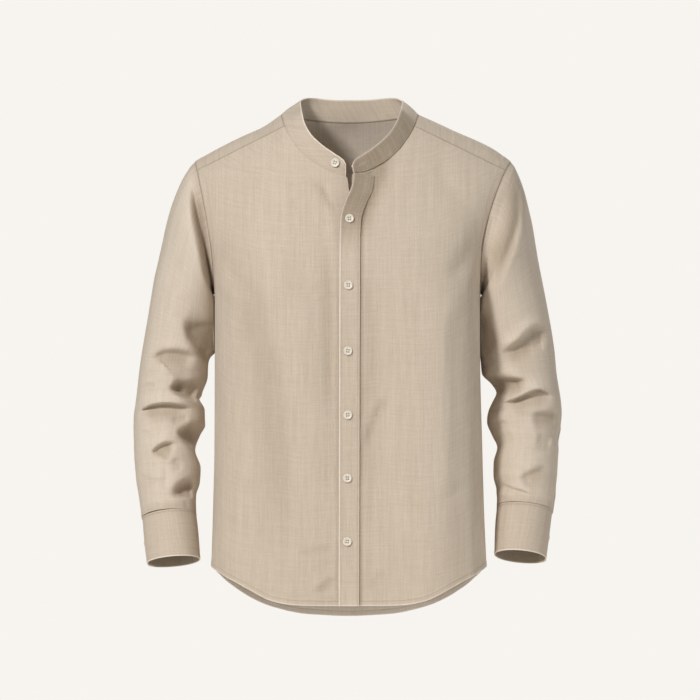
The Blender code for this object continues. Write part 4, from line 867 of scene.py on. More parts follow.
def yoke_seam_row(side, share):
    """The forward shoulder seam, from the armhole to the neckline."""
    armhole = armhole_point(side, armhole_angle(FRONT_SEAM_STEP))
    neck = neck_front(side, NECKLINE[-1].height)
    x = armhole[0] + (neck[0] - armhole[0]) * share
    height = armhole[2] + (neck[2] - armhole[2]) * share
    return torso_point(turn_at(x, height), height)


def front_rows():
    """For each row of a front: where it starts at the centre or the neckline,
    and where it ends at the side seam, the armhole or the yoke."""
    rows = []
    bottom = NECKLINE[0].height
    for row in range(HEM_ROWS):
        share = row / HEM_ROWS
        start = hem_height(CENTRE_REACH, False) * (1 - share) + FRONT_LEVEL * share
        end = hem_height(1.0, False) * (1 - share) + ARMHOLE_BOTTOM * share
        rows.append((start, end, "edge", "side", share))
    for step in range(FRONT_CHEST_ROWS + 1):
        share = step / FRONT_CHEST_ROWS
        angle = armhole_angle(AROUND // 2 - step)
        start = FRONT_LEVEL + (bottom - FRONT_LEVEL) * share
        rows.append((start, angle, "edge", "armhole", share))
    necks = [row.height for row in NECKLINE]
    rows.append((necks[1], armhole_angle(FRONT_SEAM_STEP), "neck", "armhole", 0))
    for step in range(1, SHOULDER_ROWS + 1):
        rows.append((necks[step + 1], step / SHOULDER_ROWS, "neck", "yoke", 0))
    return rows


def front_grid(side):
    grid = []
    for start, end, start_kind, end_kind, share in front_rows():
        if start_kind == "edge":
            first_x = column(FRONT_EDGES, side_name(side), start)
            first_turn = turn_at(first_x, start)
        else:
            point = neck_front(side, start)
            first_turn = turn_at(point[0], start)
            first_x = point[0]
        if end_kind == "side":
            last_turn, last_height = side, end
        elif end_kind == "armhole":
            point = armhole_point(side, end)
            last_height = point[2]
            last_turn = turn_at(point[0], last_height) if abs(end) < math.pi - 1e-6 else side
        else:
            point = yoke_seam_row(side, end)
            last_height = point[2]
            last_turn = turn_at(point[0], last_height)
        turns = column_turns(side, first_x, first_turn, last_turn, start)
        whole = turns[-1] - turns[0]
        spread = (turns - turns[0]) / whole if whole else np.zeros_like(turns)
        heights = start + (last_height - start) * spread
        if end_kind == "side":
            hem = hem_height(reach_at(turns), False)
            level = FRONT_LEVEL + (ARMHOLE_BOTTOM - FRONT_LEVEL) * spread
            heights = hem + (level - hem) * share
        points = torso_point(turns, heights)
        if start_kind == "neck":
            points[0] = neck_front(side, start)
        grid.append(points)
    grid = np.array(grid)
    return grid if side == LEFT else grid[:, ::-1]


def column_turns(side, first_x, first_turn, last_turn, height):
    """The columns of a front: two over the placket's width, the rest to the side."""
    spread = np.linspace(0, 1, FRONT_COLUMNS + 1)
    turns = first_turn + (last_turn - first_turn) * spread
    inward = side * PLACKET_WIDTH
    placket = turn_at(first_x + inward, height)
    half = turn_at(first_x + inward / 2, height)
    if abs(placket - first_turn) < abs(turns[2] - first_turn) * 1.6:
        spread = np.linspace(0, 1, FRONT_COLUMNS)
        rest = placket + (side - placket) * spread
        rest -= side * squeeze(spread, 1 - abs(last_turn))
        return np.concatenate([[first_turn, half], rest])
    return np.linspace(first_turn, last_turn, FRONT_COLUMNS + 2)


def squeeze(spread, short):
    """Where a row stops short of the side, its outer columns close up first."""
    power = min(max(0.6 / max(short, 0.01), 1.0), 4.0)
    return short * spread ** power


def lap_lift(grid):
    """The left front stands clear of the right front where it covers it."""
    x, height = grid[..., 0], grid[..., 2]
    covered = column(FRONT_EDGES, "right", height)
    lift = LAP_LIFT * ease(1 - (x - covered - LAP_CLEAR) / LAP_FALL)
    fold = column(FRONT_EDGES, "left", height)
    strip = np.clip(1 - (x - fold) / (PLACKET_WIDTH * 1.2), 0, 1) ** 1.2
    lift += FLAP_LIFT * strip * ease((height - FLAP_FOOT) / FLAP_RISE)
    return lift[..., None]


def back_grid():
    rows = []
    turns = np.linspace(1, -1, BACK_COLUMNS + 1)
    for row in range(HEM_ROWS):
        share = row / HEM_ROWS
        hem = hem_height(reach_at(turns), True)
        heights = hem + (ARMHOLE_BOTTOM - hem) * share
        rows.append(torso_point(turns, heights, back=True))
    for step in range(BELOW_YOKE_ROWS + 1):
        angle = -armhole_angle(AROUND // 2 - step)
        short = {}
        for side in (LEFT, RIGHT):
            end = armhole_point(side, angle)
            height = end[2]
            reached = side * float(turn_at(end[0], height, back=True)) if step else 1.0
            short[side] = side * squeeze(np.abs(turns), 1 - reached)
        turned = turns - np.where(turns > 0, short[LEFT], short[RIGHT])
        rows.append(torso_point(turned, height, back=True))
    return np.array(rows)


def yoke_grid(back):
    """Rows from the armholes and the back seam up to the neckline, and columns
    that fan out from the neck, from one front seam round to the other."""
    steps = range(FRONT_SEAM_STEP, -BACK_SEAM_STEP, -1)
    left = [armhole_point(LEFT, armhole_angle(step)) for step in steps]
    right = [armhole_point(RIGHT, armhole_angle(step)) for step in steps]
    outer = np.array(left + list(back[-1]) + right[::-1])
    total = len(outer)
    corner = len(left)
    angles = np.empty(total)
    first_corner = YOKE_CORNER_ANGLE
    last_corner = math.pi - YOKE_CORNER_ANGLE
    angles[:corner + 1] = np.linspace(0.0, first_corner, corner + 1)
    angles[corner:total - corner] = np.linspace(first_corner, last_corner, total - 2 * corner)
    angles[total - corner - 1:] = np.linspace(last_corner, math.pi, corner + 1)
    inner = neck_back(angles)
    for side, end, beside, angle in ((LEFT, 0, 1, 0.0), (RIGHT, -1, -2, math.pi)):
        inner[end] = neck_front(side, NECKLINE[-1].height)
        inner[beside] = inner[end] + (neck_back(np.array(angle)) - inner[end]) * YOKE_END_SHARE
    rows = [outer]
    for row in range(1, YOKE_ROWS):
        share = row / YOKE_ROWS
        plan = outer * (1 - share) + inner * share
        level = shoulder_height(plan[:, 0], plan[:, 1])
        points = np.stack([plan[:, 0], plan[:, 1], level], -1)
        settle = ease((share - 0.5) * 2)
        points[:, 2] += settle * (inner[:, 2] - shoulder_height(inner[:, 0], inner[:, 1]))
        settle = (1 - share) ** 2
        points[:, 2] += settle * (outer[:, 2] - shoulder_height(outer[:, 0], outer[:, 1]))
        for side, end in ((LEFT, 0), (RIGHT, total - 1)):
            points[end] = yoke_seam_row(side, share)
        rows.append(points)
    rows.append(inner)
    return smooth_corners(np.array(rows), corner)


def smooth_corners(grid, corner):
    """Evens out the columns that run to the yoke's two back corners."""
    places = np.arange(grid.shape[1])
    near = bell(places - corner, CORNER_SPREAD)
    weight = (near + near[::-1])[None, 1:-1, None] * 0.5
    for _ in range(YOKE_SMOOTHING):
        beside = (grid[1:-1, :-2] + grid[1:-1, 2:] + grid[:-2, 1:-1] + grid[2:, 1:-1]) / 4
        grid[1:-1, 1:-1] += (beside - grid[1:-1, 1:-1]) * weight
    return grid


def band_top(seam, from_end, side):
    """The band's top edge above one point of the neckline."""
    row = NECKLINE[min(from_end, len(NECKLINE) - 1)]
    front_x = row.top_x_left if side == LEFT else row.top_x_right
    front_height = row.top_z_left if side == LEFT else row.top_z_right
    lean = BAND_LEAN[side] * ease(0.35 + from_end / len(NECKLINE))
    front = np.array([side * front_x, seam[1] + lean, front_height])
    if from_end < len(NECKLINE):
        return front
    angle = max(math.atan2(seam[1] / NECK_BACK_DEPTH, abs(seam[0]) / NECK_SIDE[side]), 0.0)
    x = side * BAND_TOP_SIDE[side] * max(math.cos(angle), 0.0) ** 0.7
    y = BAND_TOP_BACK * math.sin(angle) ** 0.9 + BAND_SIDE_LEAN * math.cos(angle)
    height = BAND_TOP_HEIGHT - BAND_SIDE_DROP * (1 - ease(angle / 0.7))
    height -= BAND_BACK_DIP * ease((angle - 0.8) / 0.7)
    arc = np.array([x, y, height])
    if seam[1] >= 0:
        return arc
    return (front + arc) / 2


def band_grid(fronts, yoke):
    """The neckband stands on the neckline, from its left end round the back."""
    necks = len(NECKLINE)
    left = fronts[LEFT][-necks:, 0]
    right = fronts[RIGHT][-necks:, -1]
    line = list(left) + list(yoke[-1][1:-1]) + list(right[::-1])
    count = len(line)
    tops = [band_top(seam, min(place, count - 1 - place), LEFT if place < count / 2 else RIGHT)
            for place, seam in enumerate(line)]
    line = np.array(line)
    tops = np.array(tops)
    rows = []
    for row in range(BAND_ROWS + 1):
        share = row / BAND_ROWS
        points = line * (1 - share) + tops * share
        bulge = BAND_BULGE * math.sin(math.pi * share)
        points[:, 2] += bulge
        rows.append(points)
    return np.array(rows)


def section_ring(sections, places, place, side, angles):
    """One ring of a sleeve or a cuff, between its outer and its inner point."""
    values = {}
    for name in Section._fields:
        values[name] = float(curve(places, [getattr(row, name) for row in sections], place))
    section = Section(**values)
    outer = np.array([section.outer_x, section.outer_z])
    inner = np.array([section.inner_x, section.inner_z])
    middle = (outer + inner) / 2
    half = (outer - inner) / 2
    x = side * (middle[0] + half[0] * np.cos(angles))
    forward = np.sin(angles) * section.depth
    y = section.middle - forward
    z = middle[1] + half[1] * np.cos(angles) + forward * math.tan(math.radians(section.pitch))
    return np.stack([x, y, z], -1)


def fold_shift(folds, angles, heights):
    """How far the creases push a sleeve's surface out, and how far down."""
    out = np.zeros(np.broadcast(angles, heights).shape)
    down = np.zeros_like(out)
    degrees = np.degrees(angles) % 360
    for fold in folds:
        away = (degrees - fold.angle + 180) % 360 - 180
        share = np.clip(np.abs(away) / fold.span, 0, 1)
        taper = (1 - share ** 2) ** 2
        middle = fold.height + fold.slope * np.radians(away) - FOLD_SAG * share ** 2
        step = (heights - middle) / fold.width
        out -= taper * fold.depth * bell(step, 1.0)
        out += taper * fold.lip * bell(step + 1.5, 0.9)
        down -= taper * fold.hang * bell(step + 1.2, 0.8)
    return out, down


def clear_of_torso(side, points):
    """The upper arm lies flat along the torso's side, just clear of it."""
    x, y, height = points[..., 0], points[..., 1], points[..., 2]
    low = height < ARMHOLE_BOTTOM
    level = np.where(low, height, ARMHOLE_BOTTOM)
    back = y > 0
    width = front_or_back(back, half_width, side, level)
    depth = front_or_back(back, depth_at, level)
    form = front_or_back(back, form_at, level)
    share = np.clip(np.abs(y) / depth, 0, 0.98)
    torso = width * (1 - share ** form) ** (1 / form) + SLEEVE_CLEARANCE
    moved = points.copy()
    moved[..., 0] = np.where(low, side * np.maximum(side * x, torso), x)
    return moved


def sleeve_grid(side, around, count, folds):
    angles = np.arange(around) * 2 * math.pi / around
    hole = armhole_point(side, np.where(angles > math.pi, angles - 2 * math.pi, angles))
    sections = SLEEVES[side]
    places = np.arange(len(sections)) + 1.0
    fine = np.linspace(0, len(sections), count + 1)
    rows = [hole]
    for place in fine[1:]:
        ring = section_ring(sections, places, place, side, angles)
        if place < 1:
            ring = hole + (ring - hole) * place
        cap = math.exp(-((place - 0.9) / 1.1) ** 2)
        front = np.clip(np.sin(angles - 0.25), 0, 1) ** 1.5
        ring[:, 1] += CAP_VALLEY[side] * cap * front * min(place, 1.0)
        scoop = ARMHOLES[side].scoop * math.exp(-(place / 1.6) ** 2) * np.abs(np.sin(angles)) ** 1.3
        ring[:, 0] -= side * scoop * min(place, 1.0)
        rows.append(ring)
    grid = np.array(rows)
    facing = normals(grid, True) * side
    out, down = fold_shift(folds, angles[None, :], grid[..., 2])
    start = ease((fine - FOLDS_FROM) / (FOLDS_FULL - FOLDS_FROM))[:, None]
    fade = ease((len(sections) - fine) / FOLDS_FADE)[:, None]
    out = out * start * fade
    down = down * start * fade
    grid = grid + facing * out[..., None]
    grid[..., 2] += down
    grid[1:] = clear_of_torso(side, grid[1:])
    return grid


def cuff_grid(side):
    """A cuff's strip goes once round and laps over its own start."""
    count = AROUND + 2
    angles = np.radians(np.linspace(CUFF_OPENING, CUFF_OPENING + 360 + CUFF_OVERLAP, count))
    lap = np.linspace(0, 1, count)
    sections = CUFFS[side]
    places = np.arange(len(sections), dtype=float)
    rows = []
    for place in np.linspace(0, len(sections) - 1, CUFF_ROWS + 1):
        ring = section_ring(sections, places, place, side, angles)
        ends = section_ring(sections, places, place, side, np.array([0.0, math.pi]))
        away = ring - ends.mean(0)
        size = np.linalg.norm(away, axis=1, keepdims=True)
        reach = (BAND_WALL + 2 * GAP) * (ease((lap - CUFF_LAP_FROM) / CUFF_LAP_EASE) - 1)
        rows.append(ring + away / size * reach[:, None])
    return np.array(rows)


def placket_grid(front):
    """The front placket lies on the left front's first three columns."""
    return front[:HEM_ROWS + FRONT_CHEST_ROWS + 1, :3]


def nearest(grid, facing, x, height):
    """A grid's point and normal nearest to a place in the front view."""
    flat = grid.reshape(-1, 3)
    offsets = (flat[:, 0] - x) ** 2 + (flat[:, 2] - height) ** 2
    order = np.argsort(offsets)[:4]
    weight = 1 / (offsets[order] + 1e-8)
    weight /= weight.sum()
    near = facing.reshape(-1, 3)[order]
    normal = (near * weight[:, None]).sum(0)
    slope = (near[:, 0] * (x - flat[order, 0]) + near[:, 2] * (height - flat[order, 2])) / near[:, 1]
    depth = ((flat[order, 1] - slope) * weight).sum()
    return np.array([x, depth, height]), normal / np.linalg.norm(normal)


def spline(grid, parts, axis, wrap=False):
    """Adds points between a grid's own points, on smooth lines through them."""
    points = np.moveaxis(grid, axis, 0)
    count = len(points)
    if wrap:
        points = np.concatenate([points[-2:], points, points[:3]])
    chord = np.linalg.norm(np.diff(points, axis=0), axis=-1).reshape(len(points) - 1, -1).mean(1)
    slope = np.diff(points, axis=0) / chord.reshape(-1, 1, 1)
    before = chord[:-1].reshape(-1, 1, 1)
    after = chord[1:].reshape(-1, 1, 1)
    tangent = np.concatenate([slope[:1], (slope[:-1] * after + slope[1:] * before) / (before + after),
                              slope[-1:]])
    span = range(2, 2 + count) if wrap else range(count - 1)
    lines = []
    for index in span:
        rise = tangent[index] * chord[index]
        fall = tangent[index + 1] * chord[index]
        change = points[index + 1] - points[index]
        for part in range(parts):
            lines.append(points[index] + between(change, rise, fall, part / parts))
    if not wrap:
        lines.append(points[-1])
    return np.moveaxis(np.array(lines), 0, axis)


def refine(grid, rows, columns, wrap=False):
    return spline(spline(grid, rows, 0), columns, 1, wrap)


def arc(grid, axis):
    """The length along a grid's lines from their first points."""
    step = np.linalg.norm(np.diff(grid, axis=axis), axis=-1)
    start = np.zeros_like(np.take(step, [0], axis))
    return np.concatenate([start, np.cumsum(step, axis)], axis)


def from_border(grid, side):
    """The lines of a grid, counted from one of its borders inward."""
    kind, place = side.split("_")
    lines = grid if kind == "row" else np.swapaxes(grid, 0, 1)
    return lines[::-1] if place == "end" else lines


def to_grid(lines, side):
    """The grid whose lines from_border gave."""
    kind, place = side.split("_")
    lines = lines[::-1] if place == "end" else lines
    return lines if kind == "row" else np.swapaxes(lines, 0, 1)


def border_distance(grid, side):
    """The distance of every point of a grid to one of its borders."""
    return to_grid(arc(from_border(grid, side), 0), side)


def border(grid, side, distances):
    """Sets lines at the given distances from one border of a grid, in place of
    its own lines there, so that a narrow seam has points enough."""
    points = from_border(grid, side)
    length = arc(points, 0)
    every = np.arange(points.shape[1])
    deepest = distances[-1]
    keep = int(np.argmax(np.median(length, axis=1) > deepest * 1.15))
    scale = np.minimum(1.0, length[keep] * 0.93 / deepest)
    lines = []
    for distance in distances:
        wanted = distance * scale
        low = np.clip((length[1:keep + 1] < wanted).sum(0), 0, keep - 1)
        span = np.maximum(length[low + 1, every] - length[low, every], 1e-12)
        share = ((wanted - length[low, every]) / span)[:, None]
        lines.append(points[low, every] * (1 - share) + points[low + 1, every] * share)
    return to_grid(np.concatenate([np.array(lines), points[keep:]]), side)


def bordered(grid, lines):
    """Sets such lines along each border that is named, in turn."""
    for side, distances in lines.items():
        grid = border(grid, side, distances)
    return grid


def ripple(along, seed, wave=RIPPLE_WAVE):
    """An uneven wave along a seam, from -1 to 1."""
    base = along * 2 * math.pi / wave
    return (np.sin(base + seed) + np.sin(base * 0.618 + 2.3 * seed) + np.sin(base * 1.47 + 4.1 * seed)) / 3


def distance_to(points, line):
    """The distance of every point to a polyline, and where along the line."""
    flat = points.reshape(-1, 3)
    start, end = line[:-1], line[1:]
    step = end - start
    size = np.maximum((step ** 2).sum(1), 1e-14)
    along = np.concatenate([[0.0], np.cumsum(np.sqrt(size))])
    best = np.full(len(flat), 1e9)
    place = np.zeros(len(flat))
    for index in range(len(start)):
        share = np.clip(((flat - start[index]) @ step[index]) / size[index], 0, 1)
        away = np.linalg.norm(flat - start[index] - share[:, None] * step[index], axis=1)
        closer = away < best
        best = np.where(closer, away, best)
        place = np.where(closer, along[index] + share * math.sqrt(size[index]), place)
    return best.reshape(points.shape[:-1]), place.reshape(points.shape[:-1])


def creases(table, points):
    """The depth of listed creases at places seen from the front or back."""
    x, z = points[..., 0], points[..., 2]
    total = np.zeros_like(x)
    for row in table:
        dx, dz = row.x_to - row.x_from, row.z_to - row.z_from
        size = math.hypot(dx, dz)
        along = ((x - row.x_from) * dx + (z - row.z_from) * dz) / size ** 2
        across = ((x - row.x_from) * dz - (z - row.z_from) * dx) / size
        across = across - row.bend * (1 - (2 * along - 1) ** 2)
        beyond = np.maximum(np.abs(along - 0.5) - 0.5, 0) * size / (row.width * 1.5)
        taper = bell(beyond, 1.0) * (0.35 + 0.65 * np.clip(1 - (2 * along - 1) ** 2, 0, 1))
        total += row.depth * taper * bell(across, row.width)
    return total


def smooth_line(pixels, parts=6):
    """A smooth line through places in the photo, to a tenth of a millimetre."""
    points = [(round((across - PHOTO_MIDDLE) * PHOTO_PITCH, 4),
               round((PHOTO_LEVEL - down) * PHOTO_PITCH, 4)) for across, down in pixels]
    line = spline(np.array(points)[:, None, :], parts, 0)
    return line[:, 0]


def beside_line(line, x, z):
    """Where places lie beside a line in the front view: how far to its left and how
    far along it, and then how long the line is."""
    step = np.diff(line, axis=0)
    size = np.linalg.norm(step, axis=1)
    along = np.concatenate([[0.0], np.cumsum(size)])
    best = np.full(len(x), 1e9)
    place = np.zeros(len(x))
    across = np.zeros(len(x))
    for index in range(len(step)):
        dx, dz = x - line[index, 0], z - line[index, 1]
        share = np.clip((dx * step[index, 0] + dz * step[index, 1]) / size[index] ** 2, 0, 1)
        away = np.hypot(dx - share * step[index, 0], dz - share * step[index, 1])
        left = np.sign(step[index, 0] * dz - step[index, 1] * dx)
        closer = away < best
        best = np.where(closer, away, best)
        across = np.where(closer, away * left, across)
        place = np.where(closer, along[index] + share * size[index], place)
    return across, place, along[-1]


def wrinkle_shift(table, grid):
    """How far creases that run along lines push a surface to the front, and how much
    paler their crests are painted, as painted highlight, and how much darker their
    troughs, as painted shade."""
    x, z = grid[..., 0].reshape(-1), grid[..., 2].reshape(-1)
    total = np.zeros(len(x))
    shade = np.zeros(len(x))
    shine = np.zeros(len(x))
    for row in table:
        across, place, length = beside_line(smooth_line(row.pixels), x, z)
        end = np.minimum(place, length - place)
        taper = ease(end / (WRINKLE_TAPER * length) + 0.02)
        over = 0.5 + 0.5 * np.tanh(across / row.edge)
        ridge = row.ridge * bell(across, row.above)
        trough = row.trough * bell(across, row.below)
        total += taper * (ridge * over - trough * (1 - over))
        soft = 0.5 - 0.5 * np.tanh((across + 0.0005) / (2 * row.edge + 0.001))
        # painted shade in the trough: its row's tone, or one worked out from its depth
        tone = row.tone
        if tone is None:
            tone = TROUGH_SHADE * min(row.trough / DEEP_TROUGH, 1.0)
        deep = tone * bell(across, 1.2 * row.below)
        shade = np.maximum(shade, taper * deep * soft)
        # painted highlight on the crest
        high = CREST_HIGHLIGHT * min(row.ridge / HIGH_CREST, 1.0) * bell(across, 1.4 * row.above)
        shine = np.maximum(shine, taper * high * (1 - soft))
    return total.reshape(grid.shape[:-1]), (shine - shade).reshape(grid.shape[:-1])


def upright_grain(grid):
    """Grain that runs straight up the body: the way round it, and the height."""
    reach = np.clip(grid[..., 0] / GRAIN_HALF_WIDTH, -0.999, 0.999)
    round_body = np.arcsin(reach) * GRAIN_HALF_WIDTH
    return round_body, grid[..., 2] + 0.6 * np.abs(grid[..., 1])


def cloth_grain(grid, wrap):
    """Grain that runs along a grid's own lines: how far across and how far along."""
    if wrap:
        closed = np.concatenate([grid, grid[:, :1]], 1)
        girth = np.median(arc(closed, 1)[:, -1])
        across = np.repeat(np.linspace(0, girth, closed.shape[1])[None, :], len(grid), 0)
    else:
        closed = grid
        across = arc(grid, 1)
    return across, np.repeat(arc(closed, 0).mean(1, keepdims=True), closed.shape[1], 1)


def shell_faces(rows, columns, wrap, facing):
    """The faces of a shell's outer side, inner side and rims, and the place in the
    grain of each of their corners."""
    across = columns if wrap else columns - 1
    wide = columns + 1 if wrap else columns
    total = rows * columns
    row, place = np.meshgrid(np.arange(rows - 1), np.arange(across), indexing="ij")
    following = (place + 1) % columns
    corner = np.stack([row * columns + place, row * columns + following,
                       (row + 1) * columns + following, (row + 1) * columns + place], -1).reshape(-1, 4)
    spot = np.stack([row * wide + place, row * wide + place + 1,
                     (row + 1) * wide + place + 1, (row + 1) * wide + place], -1).reshape(-1, 4)
    if facing < 0:
        corner, spot = corner[:, ::-1], spot[:, ::-1]
    faces = [corner, (corner + total)[:, ::-1]]
    spots = [spot, spot[:, ::-1]]
    along = np.arange(across)
    up = np.arange(rows - 1) * columns
    rims = [(line, line * columns + (along + 1) % columns, line * columns + along,
             line * wide + along + 1, line * wide + along) for line in (0, rows - 1)]
    if not wrap:
        rims += [(line, up + line, up + line + columns, up + line, up + line + columns)
                 for line in (0, columns - 1)]
    for line, first, second, first_spot, second_spot in rims:
        rim = np.stack([first, second, second + total, first + total], -1)
        mark = np.stack([first_spot, second_spot, second_spot, first_spot], -1)
        if (line > 0) != (facing < 0):
            rim, mark = rim[:, ::-1], mark[:, ::-1]
        faces.append(rim)
        spots.append(mark)
    return np.concatenate(faces), np.concatenate(spots)


def add_piece(name, data, material):
    """Puts a finished mesh into the scene, on the shirt's one body."""
    data.materials.append(material)
    piece = bpy.data.objects.new(name, data)
    bpy.context.scene.collection.objects.link(piece)
    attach(piece, "root")
    return piece


def cloth_mesh(name, grid, thickness, material, tint, wrap=False, facing=1, grain=None,
               inside=0.0):
    """A thin closed shell whose outer side is the grid, with its grain in UV metres.
    It replaces the solid of the same name.
    The tint is painted light and shade: it makes places paler than the cloth, as painted
    highlight, or darker where it is negative, as painted shade, and inside is one more
    painted tint for the inner side."""
    facing_out = normals(grid, wrap) * facing
    inner = grid - facing_out * thickness
    vertices = np.concatenate([grid.reshape(-1, 3), inner.reshape(-1, 3)])
    faces, spots = shell_faces(*grid.shape[:2], wrap, facing)
    u, v = cloth_grain(grid, wrap) if grain is None else grain
    data = bpy.data.meshes.new(name)
    data.from_pydata(vertices.tolist(), [], faces.tolist())
    layer = data.uv_layers.new(name="grain")
    flat = np.stack([u.reshape(-1), v.reshape(-1)], -1)[spots.reshape(-1)]
    layer.data.foreach_set("uv", flat.astype(np.float32).reshape(-1))
    data.validate()
    # painted light and shade for the outer side, with the inside's painted tint on the inner side
    tone = tint.reshape(-1)
    shade = np.concatenate([tone, tone + inside]).astype(np.float32)
    data.attributes.new("tint", "FLOAT", "POINT").data.foreach_set("value", shade)
    data.shade_smooth()
    data.set_sharp_from_angle(angle=math.radians(48))
    piece = add_piece(name, data, material)
    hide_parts(name)
    return piece


def inset(grid, side, distance):
    """The line that runs on a grid at a distance from one of its borders, and the
    place just before each of its points."""
    points = from_border(grid, side)
    length = arc(points, 0)
    every = np.arange(points.shape[1])
    low = np.clip((length[1:] < distance).sum(0), 0, len(points) - 2)
    span = np.maximum(length[low + 1, every] - length[low, every], 1e-12)
    share = np.clip((distance - length[low, every]) / span, 0, 1)[:, None]
    return points[low, every] * (1 - share) + points[low + 1, every] * share, (low, every)


def stitch_runs(grid, side, distance, facing=1, near=None):
    """The stitched line at a distance from a border of a grid, in the stretches
    where that border follows one of the given lines, or all of it."""
    line, before = inset(grid, side, distance)
    out = from_border(normals(grid, False) * facing, side)[before]
    if near is None:
        return [(line, out)]
    edge, _ = inset(grid, side, 0.0)
    away = np.min([distance_to(edge, other)[0] for other in near], axis=0)
    along = np.concatenate([[False], away < NEAR_LINE, [False]])
    marks = np.flatnonzero(np.diff(along.astype(int)))
    return [(line[start:end], out[start:end]) for start, end in marks.reshape(-1, 2) if end - start > 2]


def all_runs(grid, sides, distance, facing=1, near=None):
    """The same stitched line beside several borders."""
    return [run for side in sides for run in stitch_runs(grid, side, distance, facing, near)]


def through(runs, thickness):
    """The same stitched lines on the inner side of the cloth."""
    return [(line - out * thickness, -out) for line, out in runs]


def read_line(line, length, places):
    """The points of a line, or its directions, at these lengths along it."""
    return np.stack([np.interp(places, length, line[:, axis]) for axis in range(3)], -1)


def tube_faces(first, rings, around):
    """The faces of a tube from its first point on, with both its ends."""
    faces = []
    for ring in range(rings - 1):
        low = first + ring * around
        for turn in range(around):
            after = (turn + 1) % around
            faces.append((low + turn, low + after, low + around + after, low + around + turn))
    faces.append(tuple(first + turn for turn in reversed(range(around))))
    last = first + (rings - 1) * around
    faces.append(tuple(last + turn for turn in range(around)))
    return faces


def along_line(line, facing, pitch):
    """Evenly spaced places on a line, with the direction and the normal there."""
    step = np.linalg.norm(np.diff(line, axis=0), axis=1)
    length = np.concatenate([[0.0], np.cumsum(step)])
    count = int(length[-1] / pitch)
    places = (np.arange(count) + 0.5) * pitch + (length[-1] - count * pitch) / 2
    beside = pitch * 0.3
    direction = read_line(line, length, places + beside) - read_line(line, length, places - beside)
    direction /= np.maximum(np.linalg.norm(direction, axis=1, keepdims=True), 1e-9)
    out = read_line(facing, length, places)
    out /= np.maximum(np.linalg.norm(out, axis=1, keepdims=True), 1e-9)
    return read_line(line, length, places), direction, out


def stitches(name, lines, material, pitch=STITCH_PITCH, radius=STITCH_RADIUS):
    """Rows of single stitches: each is a short thread that dips in at both ends."""
    vertices = []
    faces = []
    around = 5
    # shares of the pitch along the line, then of the radius: how thick and how high
    shape = [(-0.40, 0.35, -0.9), (-0.30, 1.0, 0.35), (0.0, 1.0, 0.75),
             (0.30, 1.0, 0.35), (0.40, 0.35, -0.9)]
    for line, facing in lines:
        points, direction, out = along_line(line, facing, pitch)
        for centre, ahead, up in zip(points, direction, out):
            side = np.cross(ahead, up)
            first = len(vertices)
            for along, width, rise in shape:
                middle = centre + ahead * along * pitch + up * rise * radius
                for turn in range(around):
                    angle = 2 * math.pi * turn / around
                    spoke = side * math.cos(angle) + up * math.sin(angle)
                    vertices.append(middle + spoke * width * radius)
            faces += tube_faces(first, len(shape), around)
    data = bpy.data.meshes.new(name)
    data.from_pydata([tuple(point) for point in vertices], [], faces)
    data.shade_smooth()
    return add_piece(name, data, material)


def new_material(name, colour, roughness):
    material = bpy.data.materials.new(name)
    material.use_nodes = True
    shader = material.node_tree.nodes["Principled BSDF"]
    shader.inputs["Base Color"].default_value = (*colour, 1.0)
    shader.inputs["Roughness"].default_value = roughness
    return material, material.node_tree, shader


def maths(tree, operation, first, second=None, third=None):
    node = tree.nodes.new("ShaderNodeMath")
    node.operation = operation
    for socket, value in zip(node.inputs, (first, second, third)):
        if value is None:
            continue
        if isinstance(value, (int, float)):
            socket.default_value = value
        else:
            tree.links.new(value, socket)
    return node.outputs[0]


def noise(tree, vector, scale, detail=2.0, stretch=(1.0, 1.0, 1.0), shift=(0.0, 0.0, 0.0)):
    mapping = tree.nodes.new("ShaderNodeMapping")
    mapping.inputs["Scale"].default_value = stretch
    mapping.inputs["Location"].default_value = shift
    tree.links.new(vector, mapping.inputs["Vector"])
    node = tree.nodes.new("ShaderNodeTexNoise")
    node.inputs["Scale"].default_value = scale
    node.inputs["Detail"].default_value = detail
    tree.links.new(mapping.outputs[0], node.inputs["Vector"])
    return node.outputs["Fac"]


def tint_shader(tree, shader, colour, value):
    """Gives a shader its colour, which the value makes lighter or darker."""
    tint = tree.nodes.new("ShaderNodeHueSaturation")
    tint.inputs["Color"].default_value = (*colour, 1.0)
    tree.links.new(value, tint.inputs["Value"])
    tree.links.new(tint.outputs[0], shader.inputs["Base Color"])
    return tint


def bump_shader(tree, shader, height, strength, distance):
    bump = tree.nodes.new("ShaderNodeBump")
    bump.inputs["Strength"].default_value = strength
    bump.inputs["Distance"].default_value = distance
    tree.links.new(height, bump.inputs["Height"])
    tree.links.new(bump.outputs[0], shader.inputs["Normal"])


def attribute(tree, name):
    node = tree.nodes.new("ShaderNodeAttribute")
    node.attribute_name = name
    return node.outputs["Fac"]


